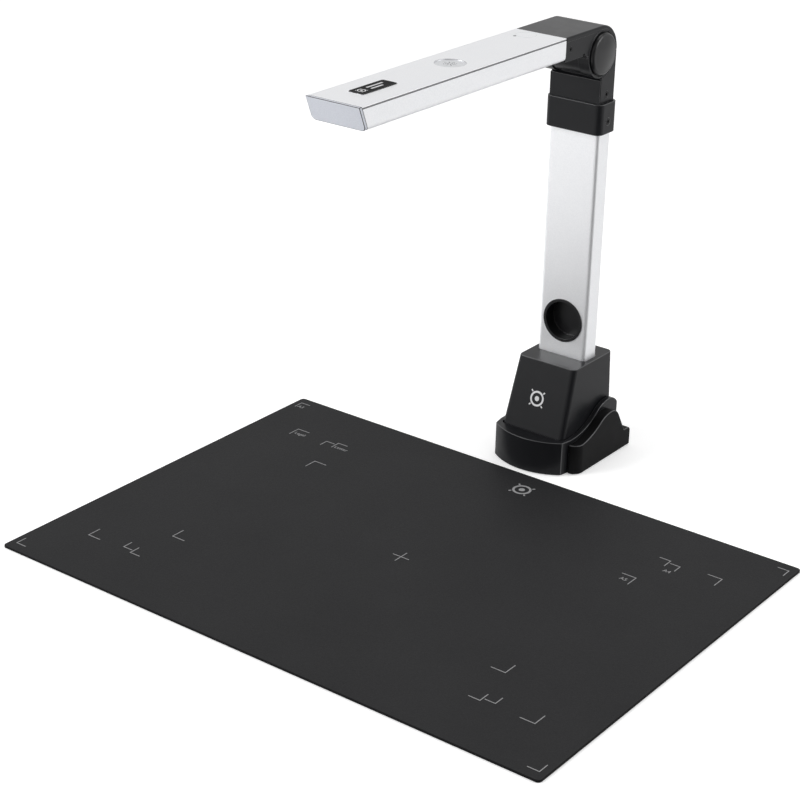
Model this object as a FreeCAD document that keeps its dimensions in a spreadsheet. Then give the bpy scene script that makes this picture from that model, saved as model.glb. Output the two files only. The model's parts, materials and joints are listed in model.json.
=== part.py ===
"""Document camera: a weighted stand, a folding camera head and a loose desk mat.

Millimetres, +Z up. The origin is on the desk under the middle of the column. The camera
head reaches towards -Y over the mat, and +X is to the right of someone who faces the stand.
"""
import FreeCAD, Part
import os
import Sketcher
from FreeCAD import Placement, Rotation, Vector

# Alias, value in millimetres, what it is. Heights are above the desk.
DIMENSIONS = [
    ("mat_length", 422, "desk mat, left to right"),
    ("mat_depth", 306, "desk mat, front to back"),
    ("mat_thickness", 1.8, "desk mat"),
    ("mat_corner", 3, "corner radius of the mat"),
    ("mat_centre_x", 15.4, "middle of the mat"),
    ("mat_centre_y", -214, "middle of the mat"),
    ("play", 0.05, "gap left between fitted pieces"),
    ("wall", 2.4, "plastic wall"),
    ("foot_height", 0.5, "lower edge of the base above the desk"),
    ("base_half_width", 30, "base shell beside the column"),
    ("base_corner_x", 28.4, "front corner of the base shell"),
    ("base_corner_y", -44.6, "front corner of the base shell"),
    ("base_shoulder_y", -36, "where the sides of the base shell turn straight"),
    ("base_front", -54.5, "foremost point of the rounded base front"),
    ("base_rear", 27.5, "rear face of the base shell"),
    ("ledge_height", 25.4, "top of the base shell at the front"),
    ("crest_height", 41.1, "top of the base shell's side waves"),
    ("crest_y", 13, "place of the side waves' crest"),
    ("wave_start", -33, "where the side waves leave the ledge"),
    ("pod_half_width", 37.8, "outer face of the right side pod"),
    ("slim_pod_half_width", 32.4, "outer face of the slim left side pod"),
    ("pod_front", -38.5, "front end of the side pods"),
    ("pod_front_height", 22.6, "side pods at their front end"),
    ("pod_crest_height", 36, "side pods at their crest"),
    ("pod_crest_y", 5, "crest of the side pods"),
    ("pod_heel_height", 14.6, "flat heel behind the side pods' slope"),
    ("pod_heel_y", 24.3, "front of that heel"),
    ("pod_rear", 32.8, "rear end of the side pods"),
    ("pod_corner", 7.4, "upright front corner radius of the right pod"),
    ("slim_pod_corner", 1.5, "upright front corner radius of the left pod"),
    ("tower_top", 74, "top of the tower shell"),
    ("tower_foot_half_width", 26.1, "tower shell at its foot"),
    ("tower_top_half_width", 24, "tower shell at its top"),
    ("tower_foot_front", -41.7, "front face at the foot"),
    ("tower_top_front", -26.3, "front face at the top"),
    ("tower_rear", 23.4, "rear face of the tower shell"),
    ("tower_corner", 4, "upright corner radius of the tower shell"),
    ("plate_low", 1.2, "underside of the bottom plate"),
    ("plate_high", 3.4, "top of the bottom plate"),
    ("ballast_top", 37, "top of the cast weight"),
    ("column_width", 40, "aluminium column"),
    ("column_depth", 16, "aluminium column"),
    ("column_corner", 3, "corner radius of the column"),
    ("column_wall", 1.5, "wall of the column"),
    ("column_low", 40, "lower end of the column"),
    ("column_high", 256, "upper end of the column"),
    ("cup_height", 100.4, "middle of the round cup in the column"),
    ("cup_radius", 16, "rim of the cup"),
    ("cup_depth", 10.4, "cup, from the column's front face to its back"),
    ("collar_width", 45, "collar round the column's upper end"),
    ("collar_front", -11.4, "front face of the collar"),
    ("collar_rear", 10.5, "rear face of the collar"),
    ("collar_corner", 5, "corner radius of the collar"),
    ("collar_low", 240.5, "lower edge of the collar"),
    ("collar_high", 262, "upper edge of the collar"),
    ("block_front", -10, "front face of the hinge block"),
    ("shelf_height", 278.2, "front edge of the hinge block's top"),
    ("seam_width", 0.9, "seam behind the hinge block's front cover"),
    ("seam_inset", 0.5, "that seam behind the block's front face"),
    ("hinge_y", -10, "hinge axis"),
    ("hinge_z", 297, "hinge axis"),
    ("hub_radius", 15.5, "fixed hub between the knuckle's cheeks"),
    ("hub_half_width", 10.85, "fixed hub"),
    ("cheek_inner", 11.5, "inner face of each cheek"),
    ("lobe_radius", 16.5, "round end of each cheek"),
    ("hood_radius", 18.9, "outside of the knuckle's hood"),
    ("hood_edge", 1.2, "rounding of the hood's two outer edges"),
    ("axle_radius", 3, "hinge axle"),
    ("cap_radius", 14.5, "round hinge caps"),
    ("cap_crown", 24, "outermost point of the hinge caps"),
    ("cap_edge", 2.4, "rounding of the caps' rim"),
    ("head_width", 40, "camera head"),
    ("head_low", 300.2, "underside of the head"),
    ("head_high", 315.8, "top of the head"),
    ("head_wall", 1.3, "wall of the head's aluminium body"),
    ("head_corner", 3.2, "lower corner radius of the head"),
    ("head_rear", -54.9, "joint between the head's body and the knuckle"),
    ("head_front", -269.9, "upper front edge of the head"),
    ("head_slant", 6.5, "how far the front face leans back at its lower edge"),
    ("groove_depth", 0.5, "shadow groove along the head's sides"),
    ("groove_low", 314.3, "lower edge of that groove"),
    ("groove_high", 315.2, "upper edge of that groove"),
    ("end_cap", 2.4, "thickness of the head's end cap"),
    ("knuckle_low", 299.6, "lower edge of the knuckle"),
    ("lens_y", -206.6, "lens axis"),
    ("lens_low", 298.2, "lower rim of the lens barrel"),
    ("mic_y", -155, "middle of the microphone grille"),
    ("mic_radius", 10, "microphone grille"),
    ("badge_x", -1, "middle of the plain badge on the head"),
    ("badge_y", -230.5, "middle of the plain badge on the head"),
]

doc = FreeCAD.newDocument("document_camera")
sheet = doc.addObject("Spreadsheet::Sheet", "dim")
subparts = []


class Size:
    """A length that knows both its value and the sheet formula that gives it."""

    def __init__(self, value, formula):
        self.value = value
        self.formula = formula

    def joined(self, sign, other, value):
        return Size(value, f"({self.formula} {sign} {other.formula})")

    def __add__(self, other):
        other = sized(other)
        return self.joined("+", other, self.value + other.value)

    def __sub__(self, other):
        other = sized(other)
        return self.joined("-", other, self.value - other.value)

    def __mul__(self, other):
        other = sized(other)
        return self.joined("*", other, self.value * other.value)

    def __truediv__(self, other):
        other = sized(other)
        return self.joined("/", other, self.value / other.value)

    def __neg__(self):
        return Size(-self.value, f"(-1 * {self.formula})")

    __radd__ = __add__
    __rmul__ = __mul__

    def __rsub__(self, other):
        return sized(other) - self


def sized(number):
    if isinstance(number, Size):
        return number
    return Size(float(number), f"({float(number)!r})")


class Dimensions:
    """The sheet's cells as Size values, by alias."""

    def __init__(self):
        for row, (alias, value, note) in enumerate(DIMENSIONS, start=1):
            sheet.set(f"A{row}", alias)
            sheet.set(f"B{row}", str(value))
            sheet.set(f"C{row}", note)
            sheet.setAlias(f"B{row}", alias)
            setattr(self, alias, Size(float(value), f"dim.{alias}"))


d = Dimensions()
doc.recompute()


def bind(thing, prop, size):
    thing.setExpression(prop, sized(size).formula)


def keep(thing, label):
    """Names a finished sub-part and lists it for export."""
    thing.Label = label
    subparts.append(thing)
    return thing


# ---------------------------------------------------------------- sketches

def pin_point(sketch, geometry, end, u, v):
    """Fixes one point of a sketch by its two distances from the sketch's origin."""
    for kind, size in (("DistanceX", sized(u)), ("DistanceY", sized(v))):
        index = sketch.addConstraint(Sketcher.Constraint(kind, -1, 1, geometry, end, size.value))
        bind(sketch, f"Constraints[{index}]", size)


def arc_between(start, end, radius, turn):
    """The short arc from start to end that turns left or right."""
    chord = end - start
    middle = (start + end) * 0.5
    reach = max(radius ** 2 - (chord.Length / 2) ** 2, 0) ** 0.5
    side = Vector(-chord.y, chord.x, 0).normalize()
    centre = middle + side * (reach if turn == "left" else -reach)
    first, last = (start, end) if turn == "left" else (end, start)
    circle = Part.Circle(centre, Vector(0, 0, 1), radius)
    return Part.ArcOfCircle(circle, circle.parameter(first), circle.parameter(last))


def outline(sketch, points):
    """A closed outline. A point (u, v, turn, radius) starts an arc, and (u, v) a straight side."""
    corners = [Vector(sized(p[0]).value, sized(p[1]).value, 0) for p in points]
    ends = []
    for index, point in enumerate(points):
        start, end = corners[index], corners[(index + 1) % len(points)]
        if len(point) == 2:
            side = sketch.addGeometry(Part.LineSegment(start, end))
            ends.append((side, 1, 2))
            continue
        turn, radius = point[2], sized(point[3])
        side = sketch.addGeometry(arc_between(start, end, radius.value, turn))
        ends.append((side, 1, 2) if turn == "left" else (side, 2, 1))
        index = sketch.addConstraint(Sketcher.Constraint("Radius", side, radius.value))
        bind(sketch, f"Constraints[{index}]", radius)
    for index, (side, first, last) in enumerate(ends):
        following, following_first, _ = ends[(index + 1) % len(ends)]
        sketch.addConstraint(Sketcher.Constraint("Coincident", side, last, following, following_first))
        pin_point(sketch, side, first, points[index][0], points[index][1])


def rounded(u, v, radius, lower_radius=None):
    """Draws a rectangle with rounded corners between u = (low, high) and v = (low, high)."""
    top, low = sized(radius), sized(lower_radius if lower_radius is not None else radius)
    (left, right), (bottom, roof) = u, v

    def draw(sketch):
        outline(sketch, [
            (left + low, bottom), (right - low, bottom, "left", low),
            (right, bottom + low), (right, roof - top, "left", top),
            (right - top, roof), (left + top, roof, "left", top),
            (left, roof - top), (left, bottom + low, "left", low),
        ])
    return draw


def plain(u, v):
    """Draws a rectangle with sharp corners."""
    (left, right), (bottom, roof) = u, v
    return lambda sketch: outline(
        sketch, [(left, bottom), (right, bottom), (right, roof), (left, roof)])


def circles(radius, centres):
    """Draws equal circles at the listed centres."""
    def draw(sketch):
        for u, v in centres:
            centre = Vector(sized(u).value, sized(v).value, 0)
            ring = sketch.addGeometry(Part.Circle(centre, Vector(0, 0, 1), sized(radius).value))
            index = sketch.addConstraint(Sketcher.Constraint("Radius", ring, sized(radius).value))
            bind(sketch, f"Constraints[{index}]", radius)
            pin_point(sketch, ring, 3, u, v)
    return draw


def both(*drawings):
    def draw(sketch):
        for drawing in drawings:
            drawing(sketch)
    return draw


def span(half):
    """The range from -half to half."""
    return (-sized(half), sized(half))


# ---------------------------------------------------------------- PartDesign bodies

def new_body(label):
    return keep(doc.addObject("PartDesign::Body", label), label)


def add_sketch(body, plane, height, drawing):
    """A sketch on one of the body's own planes, moved to a height along the row axis."""
    sketch = body.newObject("Sketcher::SketchObject", body.Name + "_sketch")
    support = next(f for f in body.Origin.OriginFeatures if f.Role == plane + "_Plane")
    sketch.AttachmentSupport = [(support, "")]
    sketch.MapMode = "FlatFace"
    bind(sketch, "AttachmentOffset.Base.z", -sized(height) if plane == "XZ" else height)
    drawing(sketch)
    if sketch.solve() != 0:
        raise RuntimeError(f"{sketch.Name} does not solve")
    return sketch


def grow(body, kind, plane, low, high, drawing):
    """Pads or pockets a sketch from low to high along the plane's row axis."""
    # The XZ plane's own normal is -Y, so its sketch starts from the high end.
    sketch = add_sketch(body, plane, high if plane == "XZ" else low, drawing)
    doc.recompute()
    before = body.Shape.Volume if body.Tip else 0
    feature = body.newObject("PartDesign::" + kind, body.Name + "_" + kind.lower())
    feature.Profile = sketch
    feature.Reversed = kind == "Pocket"
    bind(feature, "Length", sized(high) - low)
    doc.recompute()
    change = body.Shape.Volume - before
    if (change >= -1e-6) == (kind == "Pocket"):
        raise RuntimeError(f"{feature.Name} changed the volume by {change}")


def pad(body, plane, low, high, drawing):
    grow(body, "Pad", plane, low, high, drawing)


def pocket(body, plane, low, high, drawing):
    grow(body, "Pocket", plane, low, high, drawing)


def loft(body, kind, sections):
    """Lofts between (height, drawing) sections on the XY plane."""
    sketches = [add_sketch(body, "XY", height, drawing) for height, drawing in sections]
    feature = body.newObject(f"PartDesign::{kind}Loft", body.Name + "_loft")
    feature.Profile = sketches[0]
    feature.Sections = sketches[1:]
    doc.recompute()


def round_edges(body, radius, chosen):
    """Fillets the edges of the body's tip for which chosen(edge) is true."""
    tip = body.Tip
    names = [f"Edge{i}" for i, edge in enumerate(tip.Shape.Edges, start=1) if chosen(edge)]
    fillet = body.newObject("PartDesign::Fillet", body.Name + "_fillet")
    fillet.Base = (tip, names)
    bind(fillet, "Radius", radius)
    doc.recompute()


def plate(label, plane, low, high, drawing):
    """A sub-part that is one pad."""
    body = new_body(label)
    pad(body, plane, low, high, drawing)
    return body


# ---------------------------------------------------------------- Part primitives

TURN_TO = {
    "X": Rotation(Vector(0, 1, 0), 90),
    "Y": Rotation(Vector(1, 0, 0), -90),
    "Z": Rotation(),
}


def place(thing, x, y, z):
    for axis, size in (("x", x), ("y", y), ("z", z)):
        bind(thing, ".Placement.Base." + axis, size)


def box(name, x, y, z):
    """A box between x = (low, high), y = (low, high) and z = (low, high)."""
    solid = doc.addObject("Part::Box", name)
    for prop, (low, high) in (("Length", x), ("Width", y), ("Height", z)):
        bind(solid, prop, sized(high) - low)
    place(solid, x[0], y[0], z[0])
    return solid


def along(axis, centre, low):
    """The x, y, z of a point at low on the line along axis through the other two coordinates."""
    first, second = centre
    return {"X": (low, first, second), "Y": (first, low, second), "Z": (first, second, low)}[axis]


def rod(name, axis, radius, centre, reach):
    """A cylinder along an axis, from reach[0] to reach[1]."""
    solid = doc.addObject("Part::Cylinder", name)
    solid.Placement = Placement(Vector(), TURN_TO[axis])
    bind(solid, "Radius", radius)
    bind(solid, "Height", sized(reach[1]) - reach[0])
    place(solid, *along(axis, centre, reach[0]))
    return solid


def hexagon(name, axis, radius, centre, reach):
    """A six-sided bar along an axis."""
    solid = doc.addObject("Part::Prism", name)
    solid.Placement = Placement(Vector(), TURN_TO[axis])
    solid.Polygon = 6
    bind(solid, "Circumradius", radius)
    bind(solid, "Height", sized(reach[1]) - reach[0])
    place(solid, *along(axis, centre, reach[0]))
    return solid


def fuse(name, *solids):
    union = doc.addObject("Part::MultiFuse", name)
    union.Shapes = list(solids)
    union.Refine = True
    return union


def cut(name, base, *tools):
    result = doc.addObject("Part::Cut", name)
    result.Base = base
    result.Tool = tools[0] if len(tools) == 1 else fuse(name + "_tools", *tools)
    result.Refine = True
    return result


def common(name, *solids):
    shared = doc.addObject("Part::MultiCommon", name)
    shared.Shapes = list(solids)
    return shared


def rounded_solid(name, base, radius, chosen):
    """Fillets the edges of a Part solid for which chosen(edge) is true."""
    doc.recompute()
    solid = doc.addObject("Part::Fillet", name)
    solid.Base = base
    solid.Edges = [(i, radius.value, radius.value)
                   for i, edge in enumerate(base.Shape.Edges, start=1) if chosen(edge)]
    return solid


def group(label, solids):
    """Identical pieces kept together as separate solids."""
    pieces = doc.addObject("Part::Compound", label)
    pieces.Links = solids
    return keep(pieces, label)


def screw(name, axis, centre, head, tip, radius, head_radius, head_height):
    """A socket screw whose head starts at head and whose shank ends at tip."""
    inward = 1 if sized(tip).value > sized(head).value else -1
    seat = sized(head) + inward * head_height
    socket = sized(head) + inward * head_height * 0.6

    def ordered(first, second):
        return (first, second) if inward > 0 else (second, first)
    body = fuse(
        name + "_body",
        rod(name + "_head", axis, head_radius, centre, ordered(head, seat)),
        rod(name + "_shank", axis, radius, centre, ordered(seat, tip)))
    return cut(name, body, hexagon(name + "_socket", axis, head_radius * 0.5, centre,
                                   ordered(sized(head) - inward * 0.1, socket)))


def both_sides(make):
    """Calls make(side) for the left (-1) and right (1) side and lists the results."""
    return [make(side) for side in (-1, 1)]


def sided(side, inner, outer):
    """The x range from inner to outer on one side of the middle."""
    return (sized(inner), sized(outer)) if side > 0 else (-sized(outer), -sized(inner))


# ---------------------------------------------------------------- fastener places

SCREW = 1.5                 # shank radius of the M3 screws
SCREW_HOLE = 1.55           # their holes
SMALL_SCREW = 1.0           # shank radius of the M2 screws
SMALL_HOLE = 1.05
BASE_SCREWS = [(-14, -24), (14, -24), (-14, 4), (14, 4)]
FOOT_SCREWS = [(-17, -12), (17, -12), (-17, 11), (17, 11)]
RUBBER_FEET = [(-14, -43.4), (14, -43.4), (-20, 19), (20, 19), (0, 0)]
RUBBER_FOOT_RADIUS = 5
COLUMN_SCREWS = [(-12, 50), (12, 50)]   # x and z of the screws through the column's front
COLLAR_SCREW = (-1, 249)                # y and z of the collar's side screws
BLOCK_SCREW = (-1.2, 267.5)             # y and z of the hinge block's side screws
KNUCKLE_SCREW = (-48.7, 307.3)          # y and z of the knuckle's side screws
BOARD_SCREWS = [(-13.6, 30), (13.6, 30)]
BOARD_FRONT = 14.5                      # y of the interface board's front face
BOARD_BACK = 16.1
CABLE_X = 10
CABLE_Y = 4.5                           # the cable inside the column
CABLE_START_Y = 18.4                    # the cable behind the interface board
CABLE_START_HEIGHT = 26
CABLE_HOLE_HEIGHT = 66                  # where the cable enters the column's back
CABLE_RADIUS = 1.4
PORT_HEIGHT = 14                        # middle of the cable port in the base's rear wall
TONGUE_SCREWS = [(-8, -75), (8, -75)]
MIC_HOLE = 0.38                         # radius of the microphone's pin-holes
MIC_HOLES = [(1.5, 0), (2.8, 0), (4.1, 0)]     # pin-holes of one ray, from its middle
STATUS_LIGHT = (-9, -72)
STATUS_LIGHT_RADIUS = 0.9
WINDOW_HALF_WIDTH = 8                   # lamp windows in the head's underside
WINDOW_HALF_DEPTH = 4
WINDOW_CORNER = 2
TONGUE_LOW = 301.9                      # the cast channel inside the head
TONGUE_HIGH = 314.1


# ---------------------------------------------------------------- base

def base_outline(inset):
    """Draws the base's plan: round front, straight sides, rounded rear corners."""
    inset = sized(inset)
    half, corner_x = d.base_half_width - inset, d.base_corner_x - inset
    corner_y, front = d.base_corner_y + inset * 0.4, d.base_front + inset
    shoulder, rear, radius = d.base_shoulder_y, d.base_rear - inset, 4 - inset * 0.8
    bulge = corner_y - front
    front_radius = (corner_x * corner_x + bulge * bulge) / (bulge * 2)
    return lambda sketch: outline(sketch, [
        (corner_x, corner_y), (half, shoulder), (half, rear - radius, "left", radius),
        (half - radius, rear), (-half + radius, rear, "left", radius),
        (-half, rear - radius), (-half, shoulder), (-corner_x, corner_y, "left", front_radius),
    ])


def wave(start, crest, share):
    """Radii and turning point of two tangent arcs that climb from start to crest, both level."""
    run, rise = crest[0] - start[0], crest[1] - start[1]
    both_radii = (run * run + rise * rise) / (rise * 2)
    lower = both_radii * share
    upper = both_radii - lower
    turning = (start[0] + run * share, start[1] + rise * share)
    return lower, upper, turning


def base_shell():
    """The outer skirt: round-fronted wall, ledge, and the two raised side waves."""
    body = new_body("base_shell")
    pad(body, "XY", d.foot_height, d.crest_height, base_outline(0))
    start, crest = (d.wave_start, d.ledge_height), (d.crest_y, d.crest_height)
    lower, upper, turning = wave(start, crest, 2 / 3)
    hump = d.base_rear - d.crest_y
    above, beyond = d.crest_height + 5, d.base_rear + 5
    pocket(body, "YZ", -d.pod_half_width, d.pod_half_width, lambda sketch: outline(sketch, [
        (d.base_front - 5, d.ledge_height), (*start, "left", lower),
        (*turning, "right", upper), (*crest, "right", hump),
        (d.base_rear, d.crest_height - hump), (beyond, d.crest_height - hump),
        (beyond, above), (d.base_front - 5, above),
    ]))
    pocket(body, "XY", 0, d.ledge_height - d.wall, base_outline(d.wall))
    opening = rounded(span(d.tower_foot_half_width + 0.3),
                      (d.tower_foot_front - 0.2, d.tower_rear + 0.2), d.tower_corner)
    pocket(body, "XY", 0, above, opening)
    pocket(body, "XZ", d.tower_rear - 5, beyond,
           plain(span(6.3), (sized(PORT_HEIGHT - 5.8), sized(PORT_HEIGHT + 5.8))))
    return body


def side_pod(label, side, outer, corner):
    """The lower outer cover beside the base shell, with its own wave and a flat heel."""
    body = new_body(label)
    start = (d.pod_front, d.pod_front_height)
    crest = (d.pod_crest_y, d.pod_crest_height)
    lower, upper, turning = wave(start, crest, 2 / 3)
    crest_radius, heel_corner = sized(12), sized(3.3)
    # The crest's arc turns through sixty degrees into the straight slope down to the heel.
    slope_top = (d.pod_crest_y + crest_radius * 0.866, d.pod_crest_height - crest_radius * 0.5)
    x_low, x_high = sided(side, d.base_half_width + d.play, outer)
    # Sketch order runs clockwise here because the outline climbs from the front.
    pad(body, "YZ", x_low, x_high, lambda sketch: outline(sketch, [
        (d.pod_front, d.foot_height), (*start, "left", lower),
        (*turning, "right", upper), (*crest, "right", crest_radius),
        slope_top, (d.pod_heel_y, d.pod_heel_height),
        (d.pod_rear - heel_corner, d.pod_heel_height, "right", heel_corner),
        (d.pod_rear, d.pod_heel_height - heel_corner), (d.pod_rear, d.foot_height),
    ]))
    inner_low, inner_high = d.base_half_width + d.wall, outer - d.wall
    if inner_high.value > inner_low.value:
        pocket(body, "XY", 0, d.pod_heel_height - d.wall, plain(
            sided(side, inner_low, inner_high),
            (d.pod_front + corner + 1.6, d.pod_rear - d.wall)))
    outer_x = side * outer.value

    def front_corner(edge):
        box_of_edge = edge.BoundBox
        return (box_of_edge.YLength < 0.01 and box_of_edge.XLength < 0.01
                and abs(box_of_edge.XMin - outer_x) < 0.01
                and abs(box_of_edge.YMin - d.pod_front.value) < 0.01)
    round_edges(body, corner, front_corner)
    return body


def tower_shell():
    """The tapered cover that the column rises from, with a flange under the base's ledge."""
    body = new_body("tower_shell")
    floor = d.ledge_height - d.wall - d.play
    flange_low = floor - 2
    pad(body, "XY", flange_low, floor, rounded(
        span(d.tower_foot_half_width + 0.6), (d.tower_foot_front - 0.8, d.tower_rear + 0.8), 4))

    def section(half, front, inset):
        return rounded(span(half - inset), (front + inset, d.tower_rear - inset),
                       d.tower_corner - inset)
    foot, top = d.tower_foot_half_width, d.tower_top_half_width
    loft(body, "Additive", [
        (floor - 0.5, section(foot, d.tower_foot_front, 0)),
        (d.tower_top, section(top, d.tower_top_front, 0))])
    loft(body, "Subtractive", [
        (flange_low - 0.5, section(foot, d.tower_foot_front, d.wall)),
        (d.tower_top - d.wall, section(top, d.tower_top_front, d.wall))])
    pocket(body, "XY", d.tower_top - d.wall - 1, d.tower_top + 1, rounded(
        span(d.column_width / 2 + 0.15), span(d.column_depth / 2 + 0.15), d.column_corner))
    return body


def bottom_plate():
    body = plate("bottom_plate", "XY", d.plate_low, d.plate_high,
                 base_outline(d.wall + d.play * 2))
    pocket(body, "XY", 0, d.plate_high + 1, circles(SCREW_HOLE, BASE_SCREWS))
    return body


def rubber_feet():
    return group("rubber_feet", [
        rod(f"rubber_foot_{i}", "Z", RUBBER_FOOT_RADIUS, centre, (0, d.plate_low - d.play))
        for i, centre in enumerate(RUBBER_FEET)])


def ballast():
    """Cast weight that keeps the stand upright under the reaching head."""
    body = plate("ballast_weight", "XY", d.plate_high + d.play, d.ballast_top,
                 rounded(span(22.5), (sized(-34.2), sized(14)), 3))
    pocket(body, "XY", d.plate_high, 14, circles(SCREW_HOLE, BASE_SCREWS))
    pocket(body, "XY", 26, d.ballast_top + 1, circles(SCREW_HOLE, FOOT_SCREWS))
    pocket(body, "XZ", 6, 15, circles(SMALL_HOLE, BOARD_SCREWS))
    return body


def base_screws():
    return group("base_screws", [
        screw(f"base_screw_{i}", "Z", centre, 0.2, 13, SCREW, 2.7, d.plate_low - 0.2 - d.play)
        for i, centre in enumerate(BASE_SCREWS)])


def column_foot():
    """Flanged plug that carries the column on the cast weight."""
    low = d.ballast_top + d.play
    body = plate("column_foot", "XY", low, d.column_low - d.play,
                 rounded(span(21), (sized(-16), sized(15)), 3))
    inner_x = d.column_width / 2 - d.column_wall - 0.2
    inner_y = d.column_depth / 2 - d.column_wall - 0.2
    pad(body, "XY", d.column_low - d.play, d.column_low + 20,
        rounded(span(inner_x), span(inner_y), 1.2))
    pocket(body, "XY", d.ballast_top, d.column_low, circles(SCREW_HOLE, FOOT_SCREWS))
    pocket(body, "XZ", -7, 0, circles(SMALL_HOLE, COLUMN_SCREWS))
    return body


def foot_screws():
    return group("foot_screws", [
        screw(f"foot_screw_{i}", "Z", centre, d.column_low + 1.7, 27, SCREW, 2.7, 1.7)
        for i, centre in enumerate(FOOT_SCREWS)])


def column_screws():
    return group("column_screws", [
        screw(f"column_screw_{i}", "Y", centre, -9.6, -1, SMALL_SCREW, 2, 1.55)
        for i, centre in enumerate(COLUMN_SCREWS)])


def usb_board():
    body = plate("interface_board", "XZ", BOARD_FRONT, BOARD_BACK,
                 plain(span(16), (sized(6), sized(34))))
    pocket(body, "XZ", BOARD_FRONT - 1, BOARD_BACK + 1, circles(SMALL_HOLE, BOARD_SCREWS))
    return body


def board_screws():
    return group("board_screws", [
        screw(f"board_screw_{i}", "Y", centre, BOARD_BACK + 1.5, 7, SMALL_SCREW, 2, 1.45)
        for i, centre in enumerate(BOARD_SCREWS)])


def cable_port():
    """Metal socket in the base's rear wall for the computer's cable."""
    body = plate("cable_port", "XZ", BOARD_BACK + d.play, d.base_rear - 0.2, rounded(
        span(6), (sized(PORT_HEIGHT - 5.5), sized(PORT_HEIGHT + 5.5)), 0.6))
    pocket(body, "XZ", 18.5, d.base_rear, rounded(
        span(4.3), (sized(PORT_HEIGHT - 4), sized(PORT_HEIGHT + 4)), 1))
    pad(body, "XZ", 18, d.base_rear - 2, plain(
        span(2.8), (sized(PORT_HEIGHT - 1.6), sized(PORT_HEIGHT + 1.6))))
    return body


# ---------------------------------------------------------------- column

def column_tube():
    body = new_body("column_tube")
    half_x, half_y = d.column_width / 2, d.column_depth / 2
    pad(body, "XY", d.column_low, d.column_high, both(
        rounded(span(half_x), span(half_y), d.column_corner),
        rounded(span(half_x - d.column_wall), span(half_y - d.column_wall),
                d.column_corner - d.column_wall)))
    pocket(body, "XZ", -half_y - 1, 0, circles(d.cup_radius - 0.9, [(0, d.cup_height)]))
    pocket(body, "XZ", -half_y - 1, 0, circles(SMALL_HOLE, COLUMN_SCREWS))
    pocket(body, "XZ", 0, half_y + 1, circles(2.3, [(CABLE_X, CABLE_HOLE_HEIGHT)]))
    pocket(body, "YZ", -half_x - 1, half_x + 1, circles(SCREW_HOLE, [COLLAR_SCREW]))
    return body


def column_cup():
    """Round black cup let into the column's front, where the folded head's lens comes to rest."""
    front = -d.column_depth / 2
    radius = d.cup_radius - 1
    centre = (0, d.cup_height)
    back = front + d.cup_depth
    outer = fuse(
        "column_cup_outer",
        rod("column_cup_rim", "Y", d.cup_radius, centre, (front - 0.7, front - d.play)),
        rod("column_cup_wall", "Y", radius, centre, (front - 0.1, back)))
    return keep(cut(
        "column_cup", outer,
        rod("column_cup_hollow", "Y", radius - 1.1, centre, (front - 2, back - 1.2))),
        "column_cup")


def camera_cable():
    """Cable from the interface board up the inside of the column."""
    up, forward = Vector(0, 0, 1), Vector(0, -1, 0)
    start = Vector(CABLE_X, CABLE_START_Y, CABLE_START_HEIGHT)
    corner = Vector(CABLE_X, CABLE_START_Y, CABLE_HOLE_HEIGHT)
    rise = Vector(CABLE_X, CABLE_Y, CABLE_HOLE_HEIGHT)
    end = Vector(CABLE_X, CABLE_Y, d.collar_high.value + 3)
    bend, turn = 5.6, 2.5
    # An arc's middle point lies this share of its radius in from each side of its corner.
    middle_share = 1 - 0.5 ** 0.5
    diagonal, inner = bend * middle_share, turn * middle_share
    first_arc = Part.Arc(corner - up * bend, corner + forward * diagonal - up * diagonal,
                         corner + forward * bend)
    second_arc = Part.Arc(rise - forward * turn, rise - forward * inner + up * inner,
                          rise + up * turn)
    path = Part.Wire([
        Part.LineSegment(start, corner - up * bend).toShape(), first_arc.toShape(),
        Part.LineSegment(corner + forward * bend, rise - forward * turn).toShape(),
        second_arc.toShape(), Part.LineSegment(rise + up * turn, end).toShape()])
    ring = Part.Wire([Part.Circle(start, up, CABLE_RADIUS).toShape()])
    cable = doc.addObject("Part::Feature", "camera_cable")
    cable.Shape = path.makePipeShell([ring], True, True)
    cable.Placement = Placement()
    return keep(cable, "camera_cable")


def column_collar():
    body = new_body("column_collar")
    half_x, half_y = d.column_width / 2, d.column_depth / 2
    pad(body, "XY", d.collar_low, d.collar_high - d.play, both(
        rounded(span(d.collar_width / 2), (d.collar_front, d.collar_rear), d.collar_corner),
        rounded(span(half_x + d.play), span(half_y + d.play), d.column_corner)))
    face = d.collar_width / 2
    pocket(body, "YZ", -face - 1, face + 1, circles(SCREW_HOLE, [COLLAR_SCREW]))
    for low, high in ((-face - 1, -face + 1.3), (face - 1.3, face + 1)):
        pocket(body, "YZ", low, high, circles(2.5, [COLLAR_SCREW]))
    return body


def side_screws(label, centre, face, depth, head_radius, head_height, radius):
    """One screw on each side, heads just under the side faces at x = -face and x = face."""
    return group(label, both_sides(lambda side: screw(
        f"{label}_{'left' if side < 0 else 'right'}", "X", centre,
        sized(face) * side, (sized(face) - depth) * side, radius, head_radius, head_height)))


# ---------------------------------------------------------------- hinge

def hinge_rod(name, radius, reach):
    """A cylinder on the hinge axis."""
    return rod(name, "X", radius, (d.hinge_y, d.hinge_z), reach)


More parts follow.
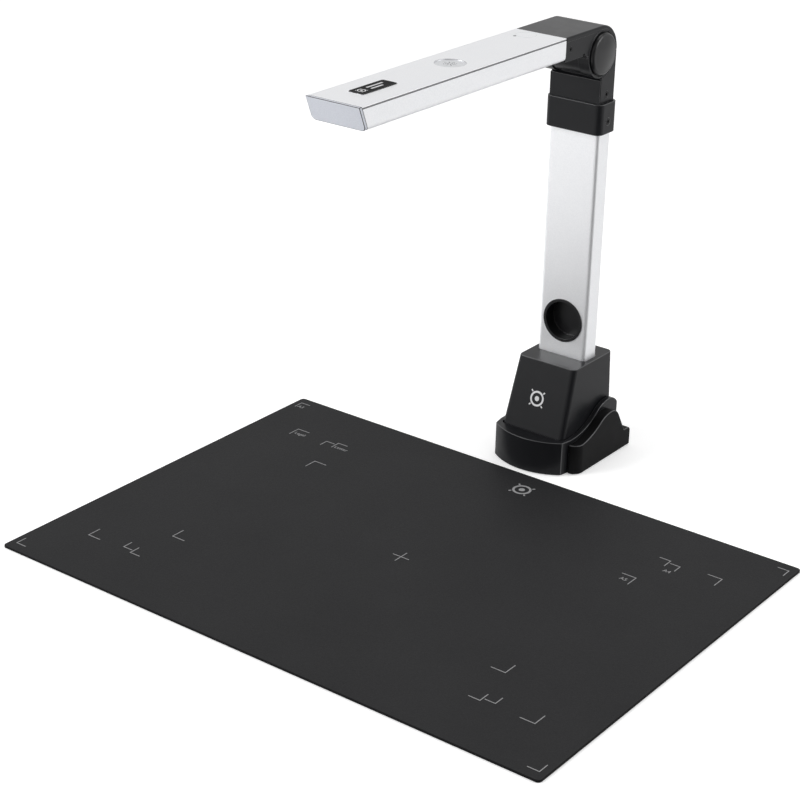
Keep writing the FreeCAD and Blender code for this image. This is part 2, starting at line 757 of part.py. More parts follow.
def hinge_core():
    """Die-cast bracket: tenon in the column, web in the block and barrel round the axle."""
    inner_x = d.column_width / 2 - d.column_wall - 0.5
    inner_y = d.column_depth / 2 - d.column_wall - 0.5
    solid = fuse(
        "hinge_core_solid",
        box("hinge_core_tenon", span(inner_x), span(inner_y), (226, d.collar_high)),
        box("hinge_core_web", span(8.9), span(5.4), (d.collar_high, 290)),
        hinge_rod("hinge_core_barrel", 12.4, span(d.hub_half_width)))
    groove = box("hinge_core_groove", (8, 12), (2.6, 9), (220, d.collar_high + 6))
    holes = [
        hinge_rod("hinge_core_bore", d.axle_radius + 0.05, span(12)),
        rod("hinge_core_collar_holes", "X", SCREW_HOLE, COLLAR_SCREW, span(inner_x + 1)),
        rod("hinge_core_block_holes", "X", SMALL_HOLE, BLOCK_SCREW, span(10))]
    return keep(cut("hinge_core", solid, groove, *holes), "hinge_core")


def hinge_block():
    """Black cover on the core: shelf, rear ear with round seats for the cheeks, and hub skin."""
    half_x = d.column_width / 2
    depth = (d.block_front, d.column_depth / 2)
    ear_top = d.hinge_z - 0.3
    seat = d.lobe_radius + 0.5
    solid = fuse(
        "hinge_block_solid",
        cut("hinge_block_seated",
            box("hinge_block_body", span(half_x), depth, (d.collar_high, ear_top)),
            *both_sides(lambda side: hinge_rod(
                f"hinge_block_seat_{'left' if side < 0 else 'right'}", seat,
                sided(side, d.hub_half_width, half_x + 1)))),
        hinge_rod("hinge_block_hub", d.hub_radius, span(d.hub_half_width)))
    chamfer = doc.addObject("Part::Wedge", "hinge_block_front_bevel")
    bevel = d.hinge_z - seat - d.shelf_height + 0.15
    for prop, size in (("Xmin", 0), ("Xmax", bevel), ("X2min", 0), ("X2max", 0), ("Ymin", 0),
                       ("Ymax", bevel), ("Zmin", 0), ("Zmax", half_x * 2 + 2),
                       ("Z2min", 0), ("Z2max", half_x * 2 + 2)):
        bind(chamfer, prop, size)
    # Once turned, the wedge's own X runs back into the block, its Y down and its Z to the left.
    chamfer.Placement = Placement(Vector(), Rotation(
        Vector(0, 1, 0), Vector(0, 0, -1), Vector(-1, 0, 0), "XYZ"))
    place(chamfer, half_x + 1, d.block_front, d.shelf_height + bevel)
    seam_front = d.block_front + d.seam_inset
    seams = both_sides(lambda side: box(
        f"hinge_block_seam_{'left' if side < 0 else 'right'}",
        sided(side, half_x - d.seam_width, half_x + 1),
        (seam_front, seam_front + d.seam_width), (d.collar_high - 1, ear_top + 1)))
    cavity = fuse(
        "hinge_block_cavity", *seams,
        hinge_rod("hinge_block_bore", 12.5, span(d.hub_half_width + 1)),
        box("hinge_block_slot", span(9), span(5.5), (d.collar_high - 1, 290)),
        box("hinge_block_cable_way", (7.9, 12.1), (2.5, 6.3), (d.collar_high - 1, 269)),
        rod("hinge_block_screw_hole", "X", SMALL_HOLE, BLOCK_SCREW, span(half_x + 1)),
        *both_sides(lambda side: rod(
            f"hinge_block_screw_seat_{'left' if side < 0 else 'right'}", "X", 2.5, BLOCK_SCREW,
            sided(side, half_x - 1.3, half_x + 1))))
    return keep(cut("hinge_block", solid, chamfer, cavity), "hinge_block")


def knuckle_hood():
    """Rear end of the head: top plate and hood over the hub, with a round-ended cheek each side."""
    half = d.head_width / 2
    top = d.hinge_z + d.hood_radius
    rear = d.hinge_y + d.hood_radius
    sharp = fuse(
        "knuckle_sharp",
        box("knuckle_bar", span(half), (d.head_rear, d.hinge_y), (d.knuckle_low, top)),
        common("knuckle_hood_arc",
               hinge_rod("knuckle_hood_round", d.hood_radius, span(half)),
               box("knuckle_upper_half", span(half), (d.hinge_y - 20, rear + 1),
                   (d.hinge_z, top + 1))),
        hinge_rod("knuckle_lobes", d.lobe_radius, span(half)))
    solid = rounded_solid("knuckle_solid", sharp, d.hood_edge, lambda edge: (
        edge.BoundBox.XLength < 0.01 and abs(edge.BoundBox.ZMax - top.value) < 0.01))
    room_low, room_high = TONGUE_LOW - 0.2, TONGUE_HIGH + 0.2
    tools = [
        hinge_rod("knuckle_hub_room", d.hub_radius + 0.6, span(d.cheek_inner)),
        box("knuckle_under_room", span(d.cheek_inner), (-27, rear + 1), (270, d.hinge_z)),
        box("knuckle_hollow", span(half - 2.6), (d.head_rear - 1, -28.2), (room_low, room_high)),
        box("knuckle_cable_room", span(d.cheek_inner), (-30, d.hinge_y - 10), (room_low, 308)),
        hinge_rod("knuckle_bore", d.axle_radius + d.play, span(half + 1)),
        rod("knuckle_screw_hole", "X", SMALL_HOLE, KNUCKLE_SCREW, span(half + 1))]
    for side in (-1, 1):
        word = "left" if side < 0 else "right"
        outer = half + 1
        tools += [
            # The sunk cheek panel leaves a raised border under the hood and a ring round the lobe.
            cut(f"knuckle_panel_{word}",
                fuse(f"knuckle_panel_area_{word}",
                     box(f"knuckle_panel_flat_{word}", sided(side, half - 0.4, outer),
                         (d.head_rear - 1, d.hinge_y), (d.knuckle_low - 1, 312.8)),
                     hinge_rod(f"knuckle_panel_round_{word}", d.hood_radius - 2.1,
                               sided(side, half - 0.4, outer))),
                hinge_rod(f"knuckle_panel_lobe_{word}", d.lobe_radius,
                          sided(side, half - 0.5, outer + 1))),
            hinge_rod(f"knuckle_cap_seat_{word}", d.cap_radius + 0.9,
                      sided(side, half - 1, outer)),
            hinge_rod(f"knuckle_nut_room_{word}", 13.2, sided(side, 16, outer)),
            rod(f"knuckle_screw_seat_{word}", "X", 2.1, KNUCKLE_SCREW,
                sided(side, half - 1.6, outer)),
            box(f"knuckle_notch_{word}", sided(side, 17.5, outer), (-33.2, -30.4),
                (d.knuckle_low - 1, 301.2))]
    return keep(cut("knuckle_hood", solid, *tools), "knuckle_hood")


def hinge_axle():
    shaft = fuse(
        "hinge_axle_solid",
        hinge_rod("hinge_axle_shaft", d.axle_radius, (-16.1, 18.6)),
        hinge_rod("hinge_axle_head", 5, (-18.4, -16.05)))
    return keep(cut("hinge_axle", shaft, hexagon(
        "hinge_axle_socket", "X", 2.2, (d.hinge_y, d.hinge_z), (-19, -17))), "hinge_axle")


def axle_ring(name, outer, reach):
    """A flat ring on the axle."""
    return cut(name, hinge_rod(name + "_disc", outer, reach),
               hinge_rod(name + "_hole", d.axle_radius + d.play, (reach[0] - 1, reach[1] + 1)))


def axle_pieces():
    """Friction washers beside the hub, and spring washers and nut at the axle's right end."""
    group("friction_washers", [
        axle_ring(f"friction_washer_{i}", 9, reach)
        for i, reach in enumerate(((-11.45, -10.9), (10.9, 11.45)))])
    group("spring_washers", [
        axle_ring(f"spring_washer_{i}", 6, (low, low + 0.5))
        for i, low in enumerate((16.05, 16.6))])
    nut = cut("axle_nut",
              hexagon("axle_nut_body", "X", 5.8, (d.hinge_y, d.hinge_z), (17.15, 18.5)),
              hinge_rod("axle_nut_hole", d.axle_radius + d.play, (17, 19)))
    keep(nut, "axle_nut")


def hinge_cap(label, side):
    """Domed cap: its profile is turned about the hinge axis."""
    body = new_body(label)
    place(body, 0, d.hinge_y, d.hinge_z)
    base, rim = d.head_width / 2 - 1 + d.play, d.head_width / 2 + 0.2
    edge = d.cap_edge
    crown, radius = d.cap_crown, d.cap_radius
    rise = crown - rim - edge
    reach = radius - edge
    dome = (reach * reach + rise * rise) / (rise * 2)
    ring_low, ring_inner, ring_outer = base - 2, sized(10.8), sized(12.9)
    turn = "left" if side > 0 else "right"
    points = [(base, 0), (base, ring_inner), (ring_low, ring_inner), (ring_low, ring_outer),
              (base, ring_outer), (base, radius), (rim, radius, turn, edge),
              (rim + edge, reach, turn, dome), (crown, 0)]
    # Climbing in +x along the upper half turns right, and its mirror image turns left.
    flipped = {"left": "right", "right": "left"}
    mirrored = [(p[0] * side, p[1], *((flipped[p[2]], p[3]) if len(p) > 2 else ()))
                for p in points]
    sketch = add_sketch(body, "XY", 0, lambda sketch: outline(sketch, mirrored))
    turned = body.newObject("PartDesign::Revolution", label + "_turned")
    turned.Profile = sketch
    turned.ReferenceAxis = (sketch, ["H_Axis"])
    turned.Angle = 360
    doc.recompute()
    return body


# ---------------------------------------------------------------- camera head

def slant(z):
    """How far the front face has leaned back at height z."""
    height = d.head_high - d.head_low
    return d.head_slant * (d.head_high - z) / height


def head_body():
    """Aluminium extrusion with a slanted front end and openings for lens and microphone."""
    half = d.head_width / 2
    body = new_body("head_body")
    inner_x = half - d.head_wall
    pad(body, "XZ", d.head_front + d.end_cap - 1, d.head_rear - d.play, both(
        rounded(span(half), (d.head_low, d.head_high), 0.5, d.head_corner),
        rounded(span(inner_x), (d.head_low + d.head_wall, d.head_high - d.head_wall), 0.4,
                d.head_corner - d.head_wall)))
    front = d.head_front + d.end_cap + d.play
    pocket(body, "XZ", front - 1, d.head_rear + 1, both(*both_sides(lambda side: plain(
        sided(side, half - d.groove_depth, half + 1), (d.groove_low, d.groove_high)))))
    low, high = d.head_low - 1, d.head_high + 1
    pocket(body, "YZ", -half - 1, half + 1, lambda sketch: outline(sketch, [
        (front - 8, low), (front + slant(low), low), (front + slant(high), high),
        (front - 8, high)]))
    pocket(body, "XY", d.head_low - 1, d.head_low + 3, rounded(
        span(14.6), (d.lens_y - 38, d.lens_y + 36), 3))
    pocket(body, "XY", d.head_low - 1, d.head_low + 3, circles(2.65, TONGUE_SCREWS))
    pocket(body, "XY", d.head_high - 3, d.head_high + 1, circles(d.mic_radius, [(0, d.mic_y)]))
    pocket(body, "XY", d.head_high - 3, d.head_high + 1,
           circles(STATUS_LIGHT_RADIUS + d.play, [STATUS_LIGHT]))
    return body


def head_end_cap():
    """Slanted front plate with a hollow plug inside the extrusion."""
    body = new_body("head_end_cap")
    half = d.head_width / 2
    front, back = d.head_front, d.head_front + d.end_cap
    low, high = d.head_low, d.head_high
    pad(body, "YZ", -half, half, lambda sketch: outline(sketch, [
        (front + slant(low), low), (back + slant(low), low), (back, high), (front, high)]))
    round_edges(body, d.head_corner, lambda edge: (
        edge.BoundBox.XLength < 0.01 and abs(edge.BoundBox.ZMax - low.value) < 0.01))
    plug_low, plug_high = low + d.head_wall + 0.2, high - d.head_wall - 0.2
    plug_half = half - d.head_wall - 0.2
    plug_back = back + slant(low) + 4
    pad(body, "YZ", -plug_half + 2, plug_half - 2, lambda sketch: outline(sketch, [
        (back + slant(plug_low) - 0.2, plug_low), (plug_back, plug_low),
        (plug_back, plug_high), (back + slant(plug_high) - 0.2, plug_high)]))
    pocket(body, "XZ", plug_back - 5, plug_back + 1, plain(
        span(plug_half - 4), (plug_low + 2, plug_high - 2)))
    return body


def head_tongue():
    """Die-cast channel that joins the knuckle to the extrusion."""
    front, rear, half, wall = -95, -30, 17.2, 3.2
    body = plate("head_tongue", "XZ", front, rear,
                 plain(span(half), (sized(TONGUE_LOW), sized(TONGUE_HIGH))))
    pocket(body, "XZ", front - 1, rear + 1, plain(
        span(half - wall), (sized(TONGUE_LOW + 2.6), sized(TONGUE_HIGH + 1))))
    pocket(body, "XY", TONGUE_LOW - 1, TONGUE_LOW + 3, circles(SMALL_HOLE, TONGUE_SCREWS))
    pocket(body, "YZ", -half - 1, half + 1, circles(SMALL_HOLE, [KNUCKLE_SCREW]))
    return body


def tongue_screws():
    return group("tongue_screws", [
        screw(f"tongue_screw_{i}", "Z", centre, d.head_low + 0.3, TONGUE_LOW + 2.5,
              SMALL_SCREW, 2.6, 1.3)
        for i, centre in enumerate(TONGUE_SCREWS)])


def lens_panel():
    """Black panel in the head's underside, with the lens hole and two lamp windows."""
    body = new_body("lens_panel")
    seat = d.head_low + d.head_wall + d.play
    rear, front = d.lens_y + 36, d.lens_y - 38
    pad(body, "XY", d.head_low - 0.4, seat, rounded(span(14.4), (front + 0.2, rear - 0.2), 2.8))
    pad(body, "XY", seat, seat + 1.4, rounded(span(17), (front - 2.5, rear + 2.5), 2))
    pocket(body, "XY", d.head_low - 2, seat + 3, circles(11.1, [(0, d.lens_y)]))
    for middle in lamp_places():
        room = WINDOW_HALF_DEPTH + 0.1
        pocket(body, "XY", d.head_low - 2, seat + 3, rounded(
            span(WINDOW_HALF_WIDTH + 0.1), (middle - room, middle + room), WINDOW_CORNER))
    return body


def lamp_places():
    """The y of the two lamps, one behind and one in front of the lens."""
    return (d.lens_y + 25.5, d.lens_y - 27)


def lamp_window(name, middle):
    """A clear window with rounded corners, let into the lens panel."""
    reach = (d.head_low - 0.2, d.head_low + 2.6)
    straight_x = WINDOW_HALF_WIDTH - WINDOW_CORNER
    straight_y = WINDOW_HALF_DEPTH - WINDOW_CORNER
    corners = [
        rod(f"{name}_corner_{x}_{y}", "Z", WINDOW_CORNER,
            (x * straight_x, middle + y * straight_y), reach)
        for x in (-1, 1) for y in (-1, 1)]
    return fuse(
        name, *corners,
        box(name + "_bar", span(WINDOW_HALF_WIDTH),
            (middle - straight_y, middle + straight_y), reach),
        box(name + "_band", span(straight_x),
            (middle - WINDOW_HALF_DEPTH, middle + WINDOW_HALF_DEPTH), reach))


def lamps():
    """Windows, boards and light-emitting diodes of the two lamps."""
    windows, boards, diodes = [], [], []
    board_low = 305
    for i, middle in enumerate(lamp_places()):
        windows.append(lamp_window(f"lamp_window_{i}", middle))
        boards.append(box(f"lamp_board_{i}", span(10), (middle - 5, middle + 5),
                          (board_low, board_low + 1.2)))
        for x in (-5, 0, 5):
            diodes.append(box(f"lamp_diode_{i}_{x + 5}", (x - 1.5, x + 1.5),
                              (middle - 1.5, middle + 1.5), (board_low - 1, board_low - d.play)))
    group("lamp_windows", windows)
    group("lamp_boards", boards)
    group("lamp_diodes", diodes)


def lens():
    """Lens barrel with a flared mouth, its front glass, and the sensor behind it."""
    centre = (0, d.lens_y)
    mouth = doc.addObject("Part::Cone", "lens_mouth")
    for prop, size in (("Radius1", 9.4), ("Radius2", 6.9), ("Height", 2.6)):
        bind(mouth, prop, size)
    place(mouth, 0, d.lens_y, d.lens_low - 0.1)
    barrel = cut(
        "lens_barrel", rod("lens_barrel_wall", "Z", 11, centre, (d.lens_low, 311.5)), mouth,
        rod("lens_barrel_bore", "Z", 6, centre, (d.lens_low, 312)),
        rod("lens_barrel_seat", "Z", 6.9, centre, (d.lens_low + 2, d.lens_low + 5)))
    keep(barrel, "lens_barrel")
    ball_radius = 14
    ball = doc.addObject("Part::Sphere", "lens_ball")
    bind(ball, "Radius", ball_radius)
    place(ball, 0, d.lens_y, d.lens_low + 2.1 + ball_radius)
    keep(common("lens_glass", ball, rod("lens_disc", "Z", 6.8, centre,
                                       (d.lens_low + 2, d.lens_low + 4.9))), "lens_glass")
    keep(box("image_sensor", span(4.2), (d.lens_y - 3.8, d.lens_y + 3.8), (310.4, 312.1)),
         "image_sensor")
    board = plate("sensor_board", "XY", 312.15, 313.3, rounded(
        span(14), (d.lens_y - 16, d.lens_y + 20), 1.5))
    return board


def microphone():
    """Pressed grille in the head's top with an eight-rayed pattern of pin-holes, and its capsule."""
    body = new_body("mic_grille")
    place(body, 0, d.mic_y, 0)
    low, high = d.head_high - d.head_wall, d.head_high - 0.45
    pad(body, "XY", low, high, circles(d.mic_radius - d.play, [(0, 0)]))
    pocket(body, "XY", low - 1, high + 1, circles(MIC_HOLE, MIC_HOLES))
    one_ray = body.Tip
    rays = body.newObject("PartDesign::PolarPattern", "mic_rays")
    rays.Originals = [one_ray]
    rays.Axis = (next(f for f in body.Origin.OriginFeatures if f.Role == "Z_Axis"), [""])
    rays.Angle = 360
    rays.Occurrences = 8
    body.Tip = rays
    doc.recompute()
    keep(rod("microphone", "Z", 4.9, (0, d.mic_y), (311.6, low - d.play)), "microphone")
    return body


def small_head_pieces():
    """Ribbon cable with its plug, the status light and the plain badge."""
    ribbon_front = -188
    keep(box("head_ribbon_cable", span(4), (ribbon_front, -31), (309.4, 309.8)),
         "head_ribbon_cable")
    keep(box("ribbon_plug", span(5), (ribbon_front - 3, ribbon_front - d.play), (309, 312.1)),
         "ribbon_plug")
    keep(rod("status_light", "Z", STATUS_LIGHT_RADIUS, STATUS_LIGHT, (313, d.head_high + 0.1)),
         "status_light")
    half_x, half_y = 5.75, 16.5
    plate("name_badge", "XY", d.head_high + 0.01, d.head_high + 0.5, rounded(
        (d.badge_x - half_x, d.badge_x + half_x), (d.badge_y - half_y, d.badge_y + half_y), 1.6))


# ---------------------------------------------------------------- mat

def desk_mat():
    half_length, half_depth = d.mat_length / 2, d.mat_depth / 2
    return plate("desk_mat", "XY", 0, d.mat_thickness, rounded(
        (d.mat_centre_x - half_length, d.mat_centre_x + half_length),
        (d.mat_centre_y - half_depth, d.mat_centre_y + half_depth), d.mat_corner))


def build():
    base_shell()
    side_pod("side_pod_left", -1, d.slim_pod_half_width, d.slim_pod_corner)
    side_pod("side_pod_right", 1, d.pod_half_width, d.pod_corner)
    tower_shell()
    bottom_plate()
    rubber_feet()
    ballast()
    base_screws()
    column_foot()
    foot_screws()
    column_screws()
    usb_board()
    board_screws()
    cable_port()
    column_tube()
    column_cup()
    camera_cable()
    column_collar()
    side_screws("collar_screws", COLLAR_SCREW, d.collar_width / 2 - 0.1, 9, 2.4, 1.15, SCREW)
    hinge_core()
    hinge_block()
    side_screws("block_screws", BLOCK_SCREW, d.column_width / 2 - 0.1, 14, 2.4, 1.15, SMALL_SCREW)
    knuckle_hood()
    side_screws("knuckle_screws", KNUCKLE_SCREW, d.head_width / 2 - 0.5, 5.3, 2.0, 1.05, SMALL_SCREW)
    hinge_axle()
    axle_pieces()
    hinge_cap("hinge_cap_left", -1)
    hinge_cap("hinge_cap_right", 1)
    head_body()
    head_end_cap()
    head_tongue()
    tongue_screws()
    lens_panel()
    lamps()
    lens()
    microphone()
    small_head_pieces()
    desk_mat()
    doc.recompute()


def check_and_write():
    for thing in doc.Objects:
        if "Invalid" in thing.State or "Error" in thing.State:
            raise RuntimeError(f"{thing.Name} failed: {thing.State}")
    for thing in subparts:
        shape = thing.Shape
        if shape.isNull() or not shape.isValid() or not shape.Solids:
            raise RuntimeError(f"{thing.Label} has no valid solid")
    os.makedirs("parts", exist_ok=True)
    for thing in subparts:
        thing.Shape.exportStep(f"parts/{thing.Label}.step")
        print(f"{thing.Label}: {len(thing.Shape.Solids)} solid(s), {thing.Shape.Volume:.0f} mm3")


build()
check_and_write()
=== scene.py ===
"""Looks of the document camera: finishes, rounded edges, printed marks, light and camera.

Metres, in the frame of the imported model: +Z up, the camera head reaches towards -Y.
"""
import json
import math

import bmesh
import bpy
from mathutils import Matrix, Vector


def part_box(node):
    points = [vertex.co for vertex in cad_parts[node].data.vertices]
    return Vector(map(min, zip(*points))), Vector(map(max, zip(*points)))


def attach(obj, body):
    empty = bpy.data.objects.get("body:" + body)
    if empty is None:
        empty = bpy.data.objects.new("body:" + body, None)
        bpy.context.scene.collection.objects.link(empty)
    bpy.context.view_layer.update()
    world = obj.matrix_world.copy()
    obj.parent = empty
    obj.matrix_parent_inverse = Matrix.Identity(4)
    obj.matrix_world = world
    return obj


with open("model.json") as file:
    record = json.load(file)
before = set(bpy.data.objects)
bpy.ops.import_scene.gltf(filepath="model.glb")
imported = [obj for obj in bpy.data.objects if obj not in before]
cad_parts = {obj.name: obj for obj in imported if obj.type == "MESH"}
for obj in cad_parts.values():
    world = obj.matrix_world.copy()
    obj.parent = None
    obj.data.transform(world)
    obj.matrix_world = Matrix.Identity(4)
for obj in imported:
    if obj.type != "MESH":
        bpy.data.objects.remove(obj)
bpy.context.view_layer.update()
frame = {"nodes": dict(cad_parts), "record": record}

MM = 0.001
NODES = frame["nodes"]
SLOT_OF = {row["node"]: row["material_slot"] for row in frame["record"]["subparts"]}

MAT_LOW, MAT_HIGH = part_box("desk_mat")
HEAD_LOW, HEAD_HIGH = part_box("head_body")
BADGE_LOW, BADGE_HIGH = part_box("name_badge")
LIGHT_LOW, LIGHT_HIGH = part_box("status_light")
BLOCK_LOW, BLOCK_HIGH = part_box("hinge_block")
INK = 0.05 * MM             # how far printed marks stand above their surface


# ---------------------------------------------------------------- finishes

class Finish:
    """A material with one principled surface, and short ways to add and wire its nodes."""

    def __init__(self, name, colour, roughness, **inputs):
        self.material = bpy.data.materials.new(name)
        self.material.use_nodes = True
        self.tree = self.material.node_tree
        self.surface = self.tree.nodes["Principled BSDF"]
        self.place = self.add("ShaderNodeTexCoord").outputs["Object"]
        self.set("Base Color", colour if hasattr(colour, "links") else (*colour, 1))
        self.set("Roughness", roughness)
        for label, value in inputs.items():
            self.set(label.replace("_", " ").title().replace("Ior", "IOR"), value)

    def add(self, kind, feeds=None, **settings):
        node = self.tree.nodes.new(kind)
        for name, value in settings.items():
            setattr(node, name, value)
        for socket, value in (feeds or {}).items():
            self.feed(node.inputs[socket], value)
        return node

    def feed(self, socket, value):
        """Wires a socket to another node's output, or sets it to a plain value."""
        if hasattr(value, "links"):
            self.tree.links.new(value, socket)
        else:
            socket.default_value = value

    def set(self, label, value):
        self.feed(self.surface.inputs[label], value)

    def noise(self, size, detail=2.0, stretch=(1, 1, 1)):
        """Noise from 0 to 1 with blobs about size metres across, stretched along each axis."""
        scale = tuple(1 / (size * share) for share in stretch)
        spread = self.add("ShaderNodeVectorMath", {0: self.place, 1: scale}, operation="MULTIPLY")
        return self.add("ShaderNodeTexNoise", {
            "Vector": spread.outputs[0], "Scale": 1.0, "Detail": detail}).outputs["Fac"]

    def cells(self, size):
        """Distance to the nearest cell centre, for a leathery grain."""
        return self.add("ShaderNodeTexVoronoi", {
            "Vector": self.place, "Scale": 1 / size}, feature="SMOOTH_F1").outputs["Distance"]

    def between(self, source, low, high, start=0.3, end=0.7):
        """Maps source from start..end to low..high."""
        return self.add("ShaderNodeMapRange", {
            "Value": source, "From Min": start, "From Max": end,
            "To Min": low, "To Max": high}).outputs["Result"]

    def mix(self, share, first, second):
        """A colour between first and second."""
        node = self.add("ShaderNodeMix", data_type="RGBA")
        for index, value in ((0, share), (6, first), (7, second)):
            self.feed(node.inputs[index], (*value, 1) if isinstance(value, tuple) else value)
        return node.outputs[2]

    def bump(self, height, depth):
        """Relief of the given depth in metres, laid over any relief set before."""
        node = self.add("ShaderNodeBump", {"Height": height, "Distance": depth})
        before = self.surface.inputs["Normal"].links
        if before:
            self.feed(node.inputs["Normal"], before[0].from_socket)
        self.set("Normal", node.outputs["Normal"])


def moulded(name, dark, light, roughness, grain, depth, **inputs):
    """Moulded plastic: spark-eroded grain, faint blotches of tone, uneven sheen."""
    finish = Finish(name, dark, roughness, **inputs)
    blotch = finish.noise(14 * MM, 3)
    finish.set("Base Color", finish.mix(blotch, dark, light))
    finish.set("Roughness", finish.between(finish.noise(8 * MM, 2), roughness - 0.02,
                                           roughness + 0.02))
    finish.bump(finish.noise(grain, 3), depth)
    return finish.material


def black_plastic():
    return moulded("black_plastic", (0.0085, 0.0088, 0.0102), (0.0120, 0.0123, 0.0140), 0.31,
                   0.45 * MM, 0.003 * MM, specular_ior_level=0.19)


def pod_plastic_shaded():
    """The side pods: the same moulding, painted darker and less shiny to stand for the shade on
    their sides.
    """
    return moulded("pod_plastic_shaded", (0.0045, 0.0045, 0.0048), (0.0070, 0.0070, 0.0075), 0.44,
                   0.45 * MM, 0.004 * MM, specular_ior_level=0.06)


def plastic_edge_highlight():
    """Painted highlight on the rounded edges of the black mouldings, a little paler and smoother.
    """
    return moulded("plastic_edge_highlight", (0.050, 0.051, 0.054), (0.068, 0.069, 0.072), 0.34,
                   0.8 * MM, 0.004 * MM)


def gloss_black():
    return moulded("gloss_black", (0.005, 0.005, 0.006), (0.009, 0.009, 0.010), 0.30,
                   0.9 * MM, 0.003 * MM, specular_ior_level=0.45)


# Painted highlight on the rounded edges of the gloss black parts, a little paler than gloss black.
def gloss_edge_highlight():
    return moulded("gloss_edge_highlight", (0.03, 0.03, 0.032), (0.045, 0.045, 0.047), 0.25,
                   0.9 * MM, 0.003 * MM)


def anodised(name, dark, light, roughness, metallic, depth):
    """Bead-blasted aluminium: fine speckle in tone and sheen, with a shallow pitted relief."""
    finish = Finish(name, dark, roughness, metallic=metallic)
    speckle = finish.noise(0.7 * MM, 4)
    cloud = finish.noise(40 * MM, 2)
    tone = finish.mix(finish.between(speckle, 0, 1), dark, light)
    finish.set("Base Color", finish.mix(finish.between(cloud, 0, 0.35), tone, light))
    finish.set("Roughness", finish.between(speckle, roughness + 0.05, roughness - 0.05))
    finish.bump(finish.noise(0.35 * MM, 3), depth)
    return finish.material


def satin_aluminium():
    return anodised("satin_aluminium", (0.83, 0.838, 0.86), (0.90, 0.905, 0.92), 0.38, 0.6,
                    0.006 * MM)


def end_grey():
    """Cool grey lacquer on the head's end plate."""
    return anodised("end_grey", (0.56, 0.58, 0.635), (0.64, 0.66, 0.715), 0.46, 0.4, 0.006 * MM)


def aluminium_edge_shade():
    """Painted shade on the rounded edges of the aluminium, darker than the blasted skin."""
    return anodised("aluminium_edge_shade", (0.22, 0.222, 0.235), (0.30, 0.302, 0.315), 0.30, 0.9,
                    0.003 * MM)


def shade_black():
    """Painted shade: the dark of narrow seams, pin-holes and the end plate's joint."""
    return moulded("shade_black", (0.020, 0.020, 0.022), (0.030, 0.030, 0.032), 0.5,
                   0.4 * MM, 0.004 * MM)


def label_black():
    """Flat black foil under the badge's print."""
    return moulded("label_black", (0.0055, 0.0055, 0.006), (0.0085, 0.0085, 0.009), 0.6,
                   0.5 * MM, 0.004 * MM, specular_ior_level=0.08)


def cast_aluminium():
    return anodised("cast_aluminium", (0.42, 0.43, 0.44), (0.56, 0.57, 0.58), 0.5, 0.9,
                    0.05 * MM)


def steel():
    finish = Finish("steel", (0.42, 0.42, 0.43), 0.3, metallic=1.0)
    turned = finish.noise(0.5 * MM, 2, stretch=(0.2, 4, 4))
    finish.set("Base Color", finish.mix(turned, (0.34, 0.34, 0.35), (0.50, 0.50, 0.51)))
    finish.set("Roughness", finish.between(turned, 0.22, 0.38))
    finish.bump(turned, 0.004 * MM)
    return finish.material


def black_steel():
    """Blackened screw steel with fine turning marks."""
    finish = Finish("black_steel", (0.005, 0.005, 0.006), 0.35, specular_ior_level=0.2)
    turned = finish.noise(0.4 * MM, 3)
    finish.set("Base Color", finish.mix(turned, (0.003, 0.003, 0.0035), (0.008, 0.008, 0.009)))
    finish.set("Roughness", finish.between(turned, 0.28, 0.42))
    finish.bump(turned, 0.004 * MM)
    return finish.material


def cast_weight():
    return moulded("cast_weight", (0.028, 0.028, 0.030), (0.045, 0.045, 0.047), 0.62,
                   1.1 * MM, 0.12 * MM)


def black_rubber():
    return moulded("black_rubber", (0.012, 0.012, 0.012), (0.020, 0.020, 0.020), 0.72,
                   0.6 * MM, 0.03 * MM)


def bronze():
    finish = Finish("bronze", (0.55, 0.36, 0.16), 0.28, metallic=1.0)
    ring = finish.noise(0.8 * MM, 3)
    finish.set("Base Color", finish.mix(ring, (0.46, 0.29, 0.12), (0.62, 0.43, 0.2)))
    finish.bump(ring, 0.01 * MM)
    return finish.material


def circuit_board():
    """Solder mask with paler blocks of copper under it."""
    finish = Finish("circuit_board", (0.01, 0.10, 0.04), 0.3)
    tracks = finish.add("ShaderNodeTexBrick", {
        "Vector": finish.place, "Scale": 260.0, "Mortar Size": 0.03,
        "Color1": (0.008, 0.09, 0.035, 1), "Color2": (0.012, 0.13, 0.05, 1),
        "Mortar": (0.03, 0.22, 0.09, 1)})
    finish.set("Base Color", tracks.outputs["Color"])
    finish.bump(tracks.outputs["Fac"], 0.03 * MM)
    return finish.material


def milky_window():
    finish = moulded("milky_window", (0.72, 0.73, 0.71), (0.80, 0.81, 0.79), 0.32,
                     1.2 * MM, 0.02 * MM, subsurface_weight=0.2, subsurface_scale=0.002)
    return finish


def lamp_chip():
    return moulded("lamp_chip", (0.72, 0.52, 0.10), (0.85, 0.66, 0.18), 0.35,
                   0.5 * MM, 0.02 * MM)


def lens_glass():
    """Coated glass: dark, mirror smooth, with a violet and green bloom."""
    finish = Finish("lens_glass", (0.010, 0.012, 0.022), 0.03, coat_weight=1.0,
                    coat_roughness=0.02, specular_ior_level=0.8)
    rim = finish.add("ShaderNodeLayerWeight", {"Blend": 0.35}).outputs["Facing"]
    finish.set("Specular Tint", finish.mix(rim, (0.45, 0.30, 0.95), (0.35, 0.9, 0.6)))
    finish.set("Coat Roughness", finish.between(finish.noise(3 * MM), 0.015, 0.04))
    return finish.material


def sensor_chip():
    return moulded("sensor_chip", (0.012, 0.012, 0.016), (0.022, 0.022, 0.028), 0.22,
                   0.5 * MM, 0.01 * MM)


def mic_metal():
    return anodised("mic_metal", (0.66, 0.67, 0.69), (0.76, 0.77, 0.79), 0.40, 0.75,
                    0.012 * MM)


